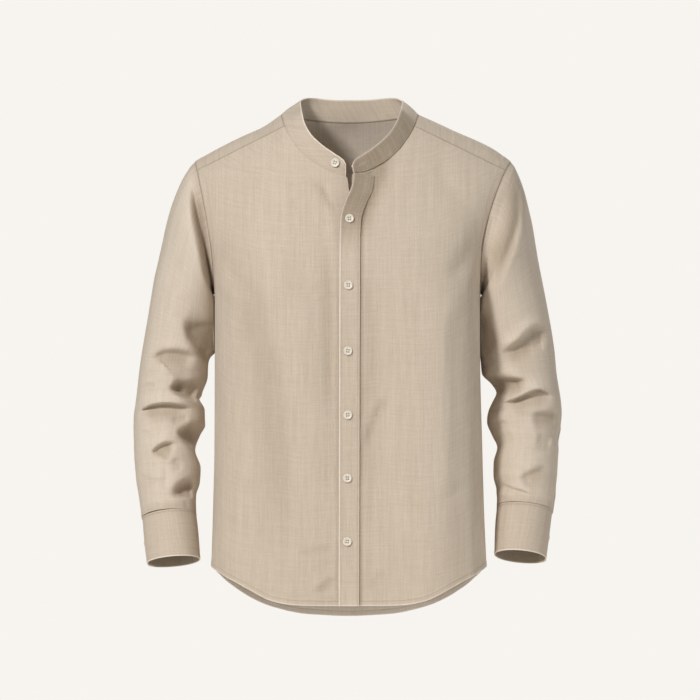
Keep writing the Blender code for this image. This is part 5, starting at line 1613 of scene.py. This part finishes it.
def linen_material(name, colour, shift):
    """Woven cloth: slubs run along both threads, which cross in a plain weave."""
    material, tree, shader = new_material(name, colour, 0.88)
    shader.inputs["Sheen Weight"].default_value = 0.16
    shader.inputs["Sheen Roughness"].default_value = 0.5
    shader.inputs["Sheen Tint"].default_value = (1.0, 0.96, 0.90, 1.0)
    shader.inputs["Specular IOR Level"].default_value = 0.18
    grain = tree.nodes.new("ShaderNodeUVMap")
    grain.uv_map = "grain"
    vector = grain.outputs[0]
    tone = 1.0
    threads = []
    for index, row in enumerate(TONES):
        place = (shift + index * 0.31, shift * 0.7, 0.0)
        layer = noise(tree, vector, 1.0, row.detail, (row.across, row.along, 1.0), place)
        threads.append(layer)
        part = maths(tree, "MULTIPLY", maths(tree, "SUBTRACT", layer, 0.5), row.strength)
        tone = maths(tree, "ADD", part, tone)
    # the tint attribute adds its painted light and shade to the cloth's tone
    tone = maths(tree, "ADD", attribute(tree, "tint"), tone)
    tint = tint_shader(tree, shader, colour, tone)
    saturation = maths(tree, "SUBTRACT", 1.0 + TONE_FADES, maths(tree, "MULTIPLY", tone, TONE_FADES))
    tree.links.new(saturation, tint.inputs["Saturation"])
    split = tree.nodes.new("ShaderNodeSeparateXYZ")
    tree.links.new(vector, split.inputs[0])
    wave = 2 * math.pi / THREAD_PITCH
    across = maths(tree, "SINE", maths(tree, "MULTIPLY", split.outputs[0], wave))
    up = maths(tree, "SINE", maths(tree, "MULTIPLY", split.outputs[1], wave * 0.92))
    weave = maths(tree, "MULTIPLY", across, up)
    height = maths(tree, "ADD", maths(tree, "MULTIPLY", weave, 0.30),
                   maths(tree, "ADD", maths(tree, "MULTIPLY", threads[0], 0.8),
                         maths(tree, "MULTIPLY", threads[1], 0.8)))
    bump_shader(tree, shader, height, 0.6, WEAVE_DEPTH)
    return material


def thread_material(name, colour):
    material, tree, shader = new_material(name, colour, 0.6)
    shader.inputs["Sheen Weight"].default_value = 0.2
    place = tree.nodes.new("ShaderNodeNewGeometry").outputs["Position"]
    ply = noise(tree, place, 900.0, 1.0)
    tint_shader(tree, shader, colour, maths(tree, "ADD", maths(tree, "MULTIPLY", ply, 0.3), 0.85))
    return material


def button_material(name, colour):
    """Off-white moulded button with faint swirls, and painted shadow in its holes."""
    material, tree, shader = new_material(name, colour, 0.32)
    shader.inputs["Specular IOR Level"].default_value = 0.5
    shader.inputs["Subsurface Weight"].default_value = 0.08
    shader.inputs["Subsurface Scale"].default_value = 0.002
    place = tree.nodes.new("ShaderNodeNewGeometry").outputs["Position"]
    swirl = noise(tree, place, 260.0, 3.0, (1.0, 1.0, 0.35))
    pale = maths(tree, "ADD", maths(tree, "MULTIPLY", swirl, 0.22), 0.89)
    # painted shadow at the bottom of the holes
    dark = maths(tree, "SUBTRACT", 1.0, maths(tree, "MULTIPLY", attribute(tree, "sunk"), HOLE_SHADOW))
    tint_shader(tree, shader, colour, maths(tree, "MULTIPLY", pale, dark))
    bump_shader(tree, shader, swirl, 0.15, SWIRL_DEPTH)
    return material


def button_holes(turn):
    """The middles of a button's four holes."""
    away = HOLE_SPREAD * BUTTON_RADIUS
    cos_turn, sin_turn = math.cos(turn), math.sin(turn)
    corners = ((away, away), (-away, away), (-away, -away), (away, -away))
    return [(x * cos_turn - y * sin_turn, x * sin_turn + y * cos_turn) for x, y in corners]


def button_mesh(name, spot, holes):
    """A dished, rimmed button with sunk holes. A spot turns its own places into points."""
    shares = [*np.linspace(0.0, FACE_REACH, FACE_RINGS), *RIM_SHARES]
    rings = [(share, dish(share)) for share in shares] + BUTTON_BACK
    angles = 2 * math.pi * np.arange(BUTTON_SIDES) / BUTTON_SIDES
    vertices = []
    depths = []
    for index, (share, rise) in enumerate(rings):
        x = np.cos(angles) * share * BUTTON_RADIUS
        y = np.sin(angles) * share * BUTTON_RADIUS
        height = np.full(BUTTON_SIDES, BUTTON_THICK * rise)
        depth = np.zeros(BUTTON_SIDES)
        if index < FACE_RINGS:
            for hole_x, hole_y in holes:
                away = np.hypot(x - hole_x, y - hole_y)
                height -= ease((HOLE_RADIUS - away) / HOLE_WALL + 0.5) * BUTTON_THICK * HOLE_DEPTH
                # painted shadow where a hole sinks, kept in the sunk attribute
                depth = np.maximum(depth, ease((HOLE_RADIUS - away) / HOLE_SHADE + 0.2))
        depths.extend(depth)
        vertices.extend(spot(*place) for place in zip(x, y, height))
    faces = []
    for ring in range(len(rings) - 1):
        low = ring * BUTTON_SIDES
        high = low + BUTTON_SIDES
        for step in range(BUTTON_SIDES):
            after = (step + 1) % BUTTON_SIDES
            faces.append((low + step, high + step, high + after, low + after))
    data = bpy.data.meshes.new(name)
    data.from_pydata([tuple(point) for point in vertices], [], faces)
    data.attributes.new("sunk", "FLOAT", "POINT").data.foreach_set("value", np.array(depths, np.float32))
    weld(data)
    data.shade_smooth()
    data.set_sharp_from_angle(angle=math.radians(45))
    return data


def button_threads(spot, holes):
    """Two upright bars of two threads each, which dip into the holes."""
    level = BUTTON_THICK * (dish(HOLE_SPREAD) + BUTTON_THREAD_LIFT)
    bars = []
    for start, end in ((holes[0], holes[1]), (holes[3], holes[2])):
        ahead_x, ahead_y = end[0] - start[0], end[1] - start[1]
        size = math.hypot(ahead_x, ahead_y)
        for offset in (-BUTTON_THREAD_OFFSET, BUTTON_THREAD_OFFSET):
            line = []
            for share, lift in BUTTON_THREAD_PATH:
                x = start[0] + ahead_x * share - ahead_y / size * offset
                y = start[1] + ahead_y * share + ahead_x / size * offset
                line.append(spot(x, y, level + lift))
            bars.append(np.array(line))
    return bars


def make_button(name, place, facing, material, thread, turn):
    """A button and the threads that hold it, on a place that faces this way."""
    facing = facing / np.linalg.norm(facing)
    across = np.cross(facing, [0.0, 0.0, 1.0])
    across /= np.linalg.norm(across)
    upright = np.cross(across, facing)

    def spot(x, y, height):
        return place + across * x + upright * y + facing * height

    holes = button_holes(turn)
    piece = add_piece(name, button_mesh(name, spot, holes), material)
    tubes(name + "_thread", button_threads(spot, holes), BUTTON_THREAD_RADIUS, thread)
    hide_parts(name)


def dish(share):
    """A button's face: a shallow dish inside a rounded rim, as a share of its thickness."""
    keys = [0.0, 0.45, 0.66, 0.78, 0.88, 0.95, 1.0]
    rises = [0.66, 0.68, 0.74, 0.94, 1.0, 0.93, 0.68]
    return float(curve(keys, rises, share))


def weld(data):
    mesh = bmesh.new()
    mesh.from_mesh(data)
    bmesh.ops.remove_doubles(mesh, verts=mesh.verts, dist=1e-6)
    bmesh.ops.recalc_face_normals(mesh, faces=mesh.faces)
    mesh.to_mesh(data)
    mesh.free()


def tubes(name, lines, radius, material, sides=6):
    """Round threads along lines of points, with closed ends."""
    vertices = []
    faces = []
    for line in lines:
        first = len(vertices)
        ahead = np.gradient(line, axis=0)
        ahead /= np.maximum(np.linalg.norm(ahead, axis=1, keepdims=True), 1e-12)
        reference = np.array([0.0, 0.0, 1.0]) if abs(ahead[0][2]) < 0.9 else np.array([1.0, 0.0, 0.0])
        for centre, forward in zip(line, ahead):
            side = np.cross(forward, reference)
            side /= np.linalg.norm(side)
            up = np.cross(side, forward)
            for turn in range(sides):
                angle = 2 * math.pi * turn / sides
                vertices.append(centre + (side * math.cos(angle) + up * math.sin(angle)) * radius)
        faces += tube_faces(first, len(line), sides)
    data = bpy.data.meshes.new(name)
    data.from_pydata([tuple(point) for point in vertices], [], faces)
    weld(data)
    data.shade_smooth()
    return add_piece(name, data, material)


def area_light(name, place, aim, size, power, colour):
    light = bpy.data.lights.new(name, "AREA")
    light.shape = "DISK"
    light.size = size
    light.energy = power
    light.color = colour
    lamp = bpy.data.objects.new(name, light)
    lamp.location = place
    direction = Vector(aim) - Vector(place)
    lamp.rotation_mode = "QUATERNION"
    lamp.rotation_quaternion = direction.to_track_quat("-Z", "Y")
    bpy.context.scene.collection.objects.link(lamp)


def studio():
    """A plain pale floor, soft light from the upper left, and the photo's camera."""
    scene = bpy.context.scene
    scene.view_settings.view_transform = "Standard"
    world = bpy.data.worlds.new("studio")
    world.use_nodes = True
    scene.world = world
    tree = world.node_tree
    ambient = tree.nodes["Background"]
    ambient.inputs["Color"].default_value = (*AMBIENT_COLOUR, 1.0)
    ambient.inputs["Strength"].default_value = AMBIENT
    backdrop = tree.nodes.new("ShaderNodeBackground")
    backdrop.inputs["Color"].default_value = (*BACKDROP, 1.0)
    mix = tree.nodes.new("ShaderNodeMixShader")
    path = tree.nodes.new("ShaderNodeLightPath")
    tree.links.new(path.outputs["Is Camera Ray"], mix.inputs[0])
    tree.links.new(ambient.outputs[0], mix.inputs[1])
    tree.links.new(backdrop.outputs[0], mix.inputs[2])
    tree.links.new(mix.outputs[0], tree.nodes["World Output"].inputs["Surface"])

    bpy.ops.mesh.primitive_circle_add(vertices=96, radius=FLOOR_RADIUS, fill_type="NGON",
                                      location=(0.0, 0.0, FLOOR_HEIGHT))
    floor = bpy.context.object
    floor.name = "floor"
    paper, _, shader = new_material("floor_paper", BACKDROP, 0.9)
    shader.inputs["Specular IOR Level"].default_value = 0.1
    floor.data.materials.append(paper)

    for lamp in LAMPS:
        area_light(lamp.name, lamp.place, lamp.aim, lamp.size, lamp.power, lamp.colour)
    lens = bpy.data.cameras.new("camera")
    lens.sensor_width = 36.0
    lens.lens = 36.0 * CAMERA_DISTANCE / FRAME_WIDTH
    lens.clip_start = 0.1
    lens.clip_end = 120.0
    camera = bpy.data.objects.new("camera", lens)
    camera.location = (FRAME_MIDDLE_X, -CAMERA_DISTANCE, FRAME_MIDDLE_Z)
    camera.rotation_euler = (math.radians(90), 0.0, 0.0)
    scene.collection.objects.link(camera)
    scene.camera = camera


def armhole_line(side):
    angles = np.linspace(-math.pi, math.pi, 241)
    return armhole_point(side, angles)


def fell_relief(points, lines, seed):
    """The raised band and stitched groove of the felled seams on these lines."""
    lift = np.zeros(points.shape[:-1])
    for line in lines:
        away, place = distance_to(points, line)
        band = FELL_LIFT * (1 - ease((away - FELL + SLOPE_START) / FELL_SLOPE))
        sewn = -STITCH_SINK * bell(away - FELL + FELL_INSET, SINK_WIDTH)
        pucker = FELL_PUCKER * ripple(place, seed) * bell(away - FELL + FELL_PUCKER_INSET, PUCKER_REACH)
        lift = np.maximum(lift, band) - SEAM_GROOVE * bell(away, GROOVE_WIDTH) + sewn + pucker
    return lift


def line_tone(away, strength, width=SEAM_LINE):
    # a painted line: painted highlight where the strength is positive, painted shade or shadow where it is
    # negative
    return strength * bell(away, width)


def seam_shadows(grid, lines, strength=SEAM_SHADOW):
    """Painted shadow: the dark lines where seams meet a piece."""
    tone = np.zeros(grid.shape[:-1])
    for line in lines:
        away, _ = distance_to(grid, line)
        tone = np.minimum(tone, line_tone(away, -strength))
    return tone


def seam_relief(away, place, width, lift, seed):
    """A topstitched edge: a raised fold of this width, its stitched line sunk."""
    band = lift * (1 - ease((away - width + SLOPE_START) / FOLD_SLOPE))
    sewn = -STITCH_SINK * bell(away - width + STITCH_INSET, SINK_WIDTH)
    pucker = SEAM_PUCKER * ripple(place, seed) * bell(away - width, PUCKER_REACH)
    return band + sewn + pucker


def lift_out(grid, lift, wrap=False, facing=1):
    return grid + normals(grid, wrap) * facing * lift[..., None]


def hem_relief(grid, seed):
    away = arc(grid, 0)
    place = arc(grid, 1)
    wave = HEM_WAVE * ripple(place, seed + 3, HEM_WAVE_LENGTH) * bell(away, HEM_WAVE_REACH)
    return seam_relief(away, place, HEM_FOLD, HEM_LIFT, seed) + wave


def make_front(side, coarse, armholes, seams, material, thread):
    name = "front_" + side_name(side)
    grid = refine(coarse, 7, 6)
    outer, inner = ("col_end", "col_start") if side == LEFT else ("col_start", "col_end")
    grid = bordered(grid, {outer: FELL_LINES, inner: EDGE_LINES, "row_start": HEM_LINES})
    lift = creases(FRONT_CREASES, grid)
    lift += fell_relief(grid, [armholes[side]], 1.0 + side)
    lift += hem_relief(grid, 2.0 + side)
    # painted shadow along the armhole, yoke and neck seams
    tint = seam_shadows(grid, [armholes[side], seams[0]])
    tint = np.minimum(tint, seam_shadows(grid, [seams[1]], NECK_SEAM_SHADOW[side]))
    fell, _ = distance_to(grid, armholes[side])
    # painted shade along the felled seam's stitched line
    tint -= line_tone(fell - FELL_STITCH, SEWN_SHADE)
    hem = border_distance(grid, "row_start")
    # painted highlight on the rolled hem, and painted shade along its stitched line
    tint += line_tone(hem, EDGE_HIGHLIGHT) - line_tone(hem - HEM_STITCH, SEWN_SHADE)
    if side == LEFT:
        inward = arc(grid, 1)
        lift = np.where(lift > 0, lift * ease((inward - PLACKET_WIDTH) / LAPPED_EASE), lift)
        # painted shadow of the placket's edge on the front, below the placket's top
        below = ease((PLACKET_TOP - grid[..., 2]) / PLACKET_TOP_FADE)
        tint += line_tone(inward - PLACKET_WIDTH - BESIDE_PLACKET, -SEAM_SHADOW) * below
    else:
        edge = column(FRONT_EDGES, "left", grid[..., 2])
        under = ease((grid[..., 0] - edge + LAPPED_EASE) / LAPPED_EASE)
        lift = np.where(lift > 0, lift * (1 - under), lift)
    # the wrinkles' painted highlight and painted shade go into the tint
    shift, shade = wrinkle_shift(WRINKLES[BODY], grid)
    grid[..., 1] -= shift
    tint += shade
    grid = lift_out(grid, lift)
    piece = cloth_mesh(name, grid, THICKNESS, material, tint, grain=upright_grain(grid))
    runs = stitch_runs(grid, outer, FELL_STITCH, near=[armholes[side]])
    runs += stitch_runs(grid, "row_start", HEM_STITCH)
    stitches(name + "_stitches", runs, thread)
    return grid


def make_back(coarse, armholes, seam, material, thread):
    grid = refine(coarse, 7, 6)
    grid = bordered(grid, {"col_start": FELL_LINES, "col_end": FELL_LINES,
                           "row_start": HEM_LINES, "row_end": SEAM_LINES})
    both = [armholes[LEFT], armholes[RIGHT]]
    # the wrinkles push the back out, and their painted highlight and shade go into the tint
    shift, shade = wrinkle_shift(WRINKLES[BACK], grid)
    grid[..., 1] += shift
    lift = creases(BACK_CREASES, grid)
    lift += fell_relief(grid, both, 4.0)
    lift += hem_relief(grid, 5.0)
    away, _ = distance_to(grid, seam)
    lift -= SEAM_GROOVE * bell(away, GROOVE_WIDTH)
    # painted shadow along the seams, to which the wrinkles' painted highlight and shade are added
    tint = seam_shadows(grid, [*both, seam]) + shade
    hem = border_distance(grid, "row_start")
    # painted highlight on the rolled hem, and painted shade along its stitched line
    tint += line_tone(hem, EDGE_HIGHLIGHT) - line_tone(hem - HEM_STITCH, SEWN_SHADE)
    grid = lift_out(grid, lift)
    # painted light on the back's inner side
    piece = cloth_mesh("back", grid, THICKNESS, material, tint, grain=upright_grain(grid),
                       inside=BACK_INSIDE_LIGHT)
    hem_runs = stitch_runs(grid, "row_start", HEM_STITCH)
    runs = hem_runs + through(hem_runs, THICKNESS)
    runs += all_runs(grid, ("col_start", "col_end"), FELL_STITCH, near=both)
    stitches("back_stitches", runs, thread)
    return grid


def make_yoke(coarse, armholes, seams, neck, material, thread):
    grid = refine(coarse, 12, 5)
    grid = bordered(grid, {"col_start": SEAM_LINES, "col_end": SEAM_LINES,
                           "row_start": FELL_LINES, "row_end": EDGE_LINES})
    both = [armholes[LEFT], armholes[RIGHT]]
    lift = fell_relief(grid, both, 6.0)
    for index, seam in enumerate(seams):
        away, place = distance_to(grid, seam)
        lift += seam_relief(away, place, YOKE_FOLD, YOKE_LIFT, 7.0 + index)
        lift -= SEAM_GROOVE * bell(away, GROOVE_WIDTH)
    # painted shadow along the yoke's seams and the neckline
    tint = seam_shadows(grid, [*both, *seams, neck])
    grid = lift_out(grid, lift)
    # painted light on the yoke's inner side
    piece = cloth_mesh("yoke", grid, THICKNESS, material, tint, grain=upright_grain(grid),
                       inside=BACK_INSIDE_LIGHT)
    runs = all_runs(grid, ("col_start", "col_end"), SEAM_STITCH)
    runs += stitch_runs(grid, "row_start", SEAM_STITCH, near=[seams[-1]])
    runs += stitch_runs(grid, "row_start", FELL_STITCH, near=both)
    stitches("yoke_stitches", runs, thread)
    return grid


def make_band(coarse, material, thread):
    grid = bordered(refine(coarse, 12, 6), dict.fromkeys(ALL_BORDERS, EDGE_LINES))
    away = border_distance(grid, "row_end")
    up = border_distance(grid, "row_start")
    place = arc(grid, 1)
    lift = seam_relief(away, place, EDGE_FOLD, EDGE_LIFT, 9.0)
    middle = np.sin(np.linspace(0, math.pi, len(grid)))[:, None]
    lift += BAND_WAVE * ripple(place, 3.1, BAND_WAVE_LENGTH) * middle
    ahead = ease((-grid[..., 1] - BAND_FRONT_FROM) / BAND_FRONT_EASE)
    # painted shadow along the band's seam, fainter at its front on the wearer's right
    seam = SEAM_SHADOW + (NECK_SEAM_SHADOW[RIGHT] - SEAM_SHADOW) * ahead * (grid[..., 0] < 0)
    # painted highlight along the band's top edge, less the painted seam shadow
    tint = line_tone(away, EDGE_HIGHLIGHT, EDGE_LINE) - line_tone(up, seam)
    # painted shade on the band's free left part, where it turns away from the light
    tint -= TURNED_SHADE * ease((grid[..., 0] - BAND_LEFT_FROM) / BAND_LEFT_EASE) * ahead
    # painted highlight along the band's two ends
    for end in ("col_start", "col_end"):
        tint += line_tone(border_distance(grid, end), EDGE_HIGHLIGHT, EDGE_LINE)
    grid = lift_out(grid, lift)
    piece = cloth_mesh("neckband", grid, BAND_THICKNESS, material, tint)
    runs = stitch_runs(grid, "row_end", EDGE_STITCH)
    runs += stitch_runs(grid, "row_start", SEAM_STITCH)
    runs += all_runs(grid, ("col_start", "col_end"), EDGE_STITCH)
    runs += through(runs[:2], BAND_THICKNESS)
    sewn = stitches("neckband_stitches", runs, thread)
    level = int(np.argmax(np.median(up, axis=1) > 0.45 * np.median(up[-1])))
    line = grid[level]
    out = normals(grid, False)[level]
    along = arc(grid, 1)[level]
    slit = buttonhole("neckband_buttonhole", line, out, along, BUTTONHOLE_FROM, thread)
    return grid


def buttonhole(name, line, facing, along, start, thread):
    """The close stitches round a slit that runs along a line on the cloth."""
    places = start + BUTTONHOLE_LENGTH * np.linspace(0, 1, 15)
    middle = read_line(line, along, places)
    out = read_line(facing, along, places)
    ahead = np.gradient(middle, axis=0)
    ahead /= np.linalg.norm(ahead, axis=1, keepdims=True)
    side = np.cross(out, ahead)
    upper = middle + side * BUTTONHOLE_HALF_WIDTH + out * BUTTONHOLE_RISE
    lower = (middle - side * BUTTONHOLE_HALF_WIDTH + out * BUTTONHOLE_RISE)[::-1]
    ring = np.concatenate([upper, lower, upper[:1]])
    return tubes(name, [ring], BUTTONHOLE_THREAD, thread)


def make_placket(coarse, material, thread):
    grid = refine(coarse, 20, 6)
    facing = normals(grid, False)
    grid = grid + facing * (GAP + WALL)
    shift, _ = wrinkle_shift(WRINKLES[BODY], grid)
    grid[..., 1] -= shift
    grid = bordered(grid, {"col_start": EDGE_LINES, "col_end": EDGE_LINES, "row_start": HEM_LINES})
    width = arc(grid, 1)
    along = arc(grid, 0)
    near = width
    far = width[:, -1:] - width
    lift = seam_relief(near, along, EDGE_FOLD, EDGE_LIFT, 11.0)
    lift += seam_relief(far, along, EDGE_FOLD, EDGE_LIFT, 12.0)
    # painted highlight along the folded edge and the hem, painted shade along both stitched lines
    tint = line_tone(near, EDGE_HIGHLIGHT, EDGE_LINE) + line_tone(along, EDGE_HIGHLIGHT)
    tint -= line_tone(near - EDGE_STITCH, SEWN_SHADE) + line_tone(far - EDGE_STITCH, SEWN_SHADE)
    # painted shade on the placket's top, where it turns away from the light
    tint -= TURNED_SHADE * ease((grid[..., 2] - TURNED_FROM) / TURNED_FADE)
    grid = lift_out(grid, lift)
    piece = cloth_mesh("placket", grid, THICKNESS, material, tint)
    runs = all_runs(grid, ("col_start", "col_end"), EDGE_STITCH)
    stitches("placket_stitches", runs, thread)
    return grid


def make_sleeve(side, material):
    name = "sleeve_" + side_name(side)
    folds = [fold._replace(depth=fold.depth * FRONT_SHARE, lip=fold.lip * FRONT_SHARE, hang=0.0)
             if fold.angle < 180 else fold for fold in FOLDS[side] + FINE_FOLDS[side]]
    grid = sleeve_grid(side, 5 * AROUND, 300, folds)
    front = np.clip(0.12 - 1.5 * normals(grid, True)[..., 1] * side, 0, 1)
    below = border_distance(grid, "row_end")
    front = front * ease(arc(grid, 0) / SEAM_HOLD) * ease(below / SEAM_HOLD)
    # the tint starts as the wrinkles' painted highlight and painted shade
    shift, tint = wrinkle_shift(WRINKLES[side], grid)
    grid[..., 1] -= shift * front
    # painted light on the sleeve's front, added to the wrinkles' painted highlight and shade
    tint = (tint + SLEEVE_LIGHT) * front
    place = arc(grid, 0)
    groove = -SLEEVE_GROOVE * bell(place, SLEEVE_GROOVE_WIDTH)
    below = border_distance(grid, "row_end")
    around = arc(grid, 1)
    gather = GATHER * ripple(around, 2.0 + side, GATHER_WAVE) * bell(below, SEAM_HOLD)
    # painted shadow in the armhole seam
    tint += line_tone(place, -SEAM_SHADOW, SLEEVE_SEAM_LINE)
    grid = lift_out(grid, groove + gather, True, side)
    grid[1:] = clear_of_torso(side, grid[1:])
    down = grid[-1] - grid[-2]
    down /= np.linalg.norm(down, axis=1, keepdims=True)
    turn = 2 * math.pi * (np.arange(len(down)) / len(down) - END_PEAK)
    grid[-1] += down * (END_REACH[side] * np.clip(np.cos(turn), 0, 1))[:, None]
    piece = cloth_mesh(name, grid, THICKNESS, material, tint, wrap=True, facing=side)
    return grid


def make_cuff(side, material, thread):
    name = "cuff_" + side_name(side)
    grid = bordered(refine(cuff_grid(side), 12, 5), dict.fromkeys(ALL_BORDERS, EDGE_LINES))
    above = border_distance(grid, "row_start")
    below = border_distance(grid, "row_end")
    place = arc(grid, 1)
    lift = seam_relief(below, place, EDGE_FOLD, EDGE_LIFT, 13.0)
    lift += seam_relief(above, place, EDGE_FOLD, EDGE_LIFT, 14.0)
    # painted highlight along the lower edge and the end, painted shade along the upper stitched line
    tint = line_tone(below, EDGE_HIGHLIGHT, EDGE_LINE) - line_tone(above - EDGE_STITCH, 2 * SEWN_SHADE)
    tint += line_tone(border_distance(grid, "col_end"), EDGE_HIGHLIGHT)
    grid = lift_out(grid, lift, False, side)
    # painted shade on the cuff's inner side
    piece = cloth_mesh(name, grid, BAND_THICKNESS, material, tint, facing=side, inside=INSIDE_TONE)
    runs = all_runs(grid, ("row_start", "row_end", "col_end"), EDGE_STITCH, side)
    stitches(name + "_stitches", runs, thread)
    return grid


def make_sleeve_placket(side, sleeve, material, thread):
    name = "sleeve_placket_" + side_name(side)
    facing = normals(sleeve, True) * side
    around = sleeve.shape[1]
    first = int(round(CUFF_OPENING / 360 * around))
    wide = around * 2 // AROUND
    bottom = sleeve[-1, 0, 2]
    top = int(np.argmax(sleeve[:, 0, 2] - bottom < SLEEVE_PLACKET_LENGTH))
    columns = [(first + step) % around for step in range(wide + 1)]
    grid = (sleeve + facing * (GAP + 2 * THICKNESS))[top:, columns]
    grid = refine(grid, 1, 2)
    # painted highlight along both long edges
    tint = line_tone(border_distance(grid, "col_start"), EDGE_HIGHLIGHT)
    tint += line_tone(border_distance(grid, "col_end"), EDGE_HIGHLIGHT)
    piece = cloth_mesh(name, grid, THICKNESS, material, tint, facing=side)
    runs = all_runs(grid, ("col_start", "col_end", "row_start"), SEAM_STITCH, side)
    stitches(name + "_stitches", runs, thread)
    return grid


def main():
    linens = {}
    thread = thread_material("sewing_thread", THREAD_COLOUR)
    ivory = button_material("ivory_buttons", BUTTON_COLOUR)

    def linen(name):
        linens[name] = linen_material(name + "_linen", BODY_COLOUR, 0.37 * (len(linens) + 1))
        return linens[name]

    armholes = {side: armhole_line(side) for side in (LEFT, RIGHT)}
    fronts = {side: front_grid(side) for side in (LEFT, RIGHT)}
    back = back_grid()
    yoke = yoke_grid(back)
    left = fronts[LEFT] + normals(fronts[LEFT], False) * lap_lift(fronts[LEFT])
    band = band_grid({LEFT: left, RIGHT: fronts[RIGHT]}, yoke)
    front_seams = {LEFT: yoke[:, 0], RIGHT: yoke[:, -1]}
    neck = band[0]
    make_front(LEFT, left, armholes, [front_seams[LEFT], neck], linen("front_left"), thread)
    make_front(RIGHT, fronts[RIGHT], armholes, [front_seams[RIGHT], neck], linen("front_right"), thread)
    make_back(back, armholes, back[-1], linen("back"), thread)
    make_yoke(yoke, armholes, [front_seams[LEFT], front_seams[RIGHT], back[-1]], neck, linen("yoke"),
              thread)
    make_band(band, linen("neckband"), thread)
    placket = make_placket(placket_grid(left), linen("placket"), thread)
    placket_facing = normals(placket, False)
    for index, row in enumerate(BUTTONS):
        place, facing = nearest(placket, placket_facing, row.x, row.height)
        turn = BUTTON_TURN * (index % 3 - 1)
        make_button(row.name, place + facing * BUTTON_SEAT, facing, ivory, thread, turn)
    band_facing = normals(band, False)
    end = (slice(1, 3), slice(-4, None))
    level = band[1:3, -3:-1, 2].mean()
    seat, facing = nearest(band[end], band_facing[end], BAND_BUTTON_X, level)
    make_button("button_1", seat + facing * BAND_BUTTON_SEAT, facing, ivory, thread, BAND_BUTTON_TURN)
    for side in (LEFT, RIGHT):
        name = side_name(side)
        sleeve = make_sleeve(side, linen("sleeve_" + name))
        make_cuff(side, linen("cuff_" + name), thread)
        make_sleeve_placket(side, sleeve, linen("sleeve_placket_" + name), thread)
        cuff = cuff_grid(side)
        cuff_facing = normals(cuff, False) * side
        spot = cuff[1:3, -2].mean(0)
        out = cuff_facing[1:3, -2].mean(0)
        make_button("cuff_button_" + name, spot + out * BAND_BUTTON_SEAT, out, ivory, thread,
                    CUFF_BUTTON_TURN)
    studio()


main()
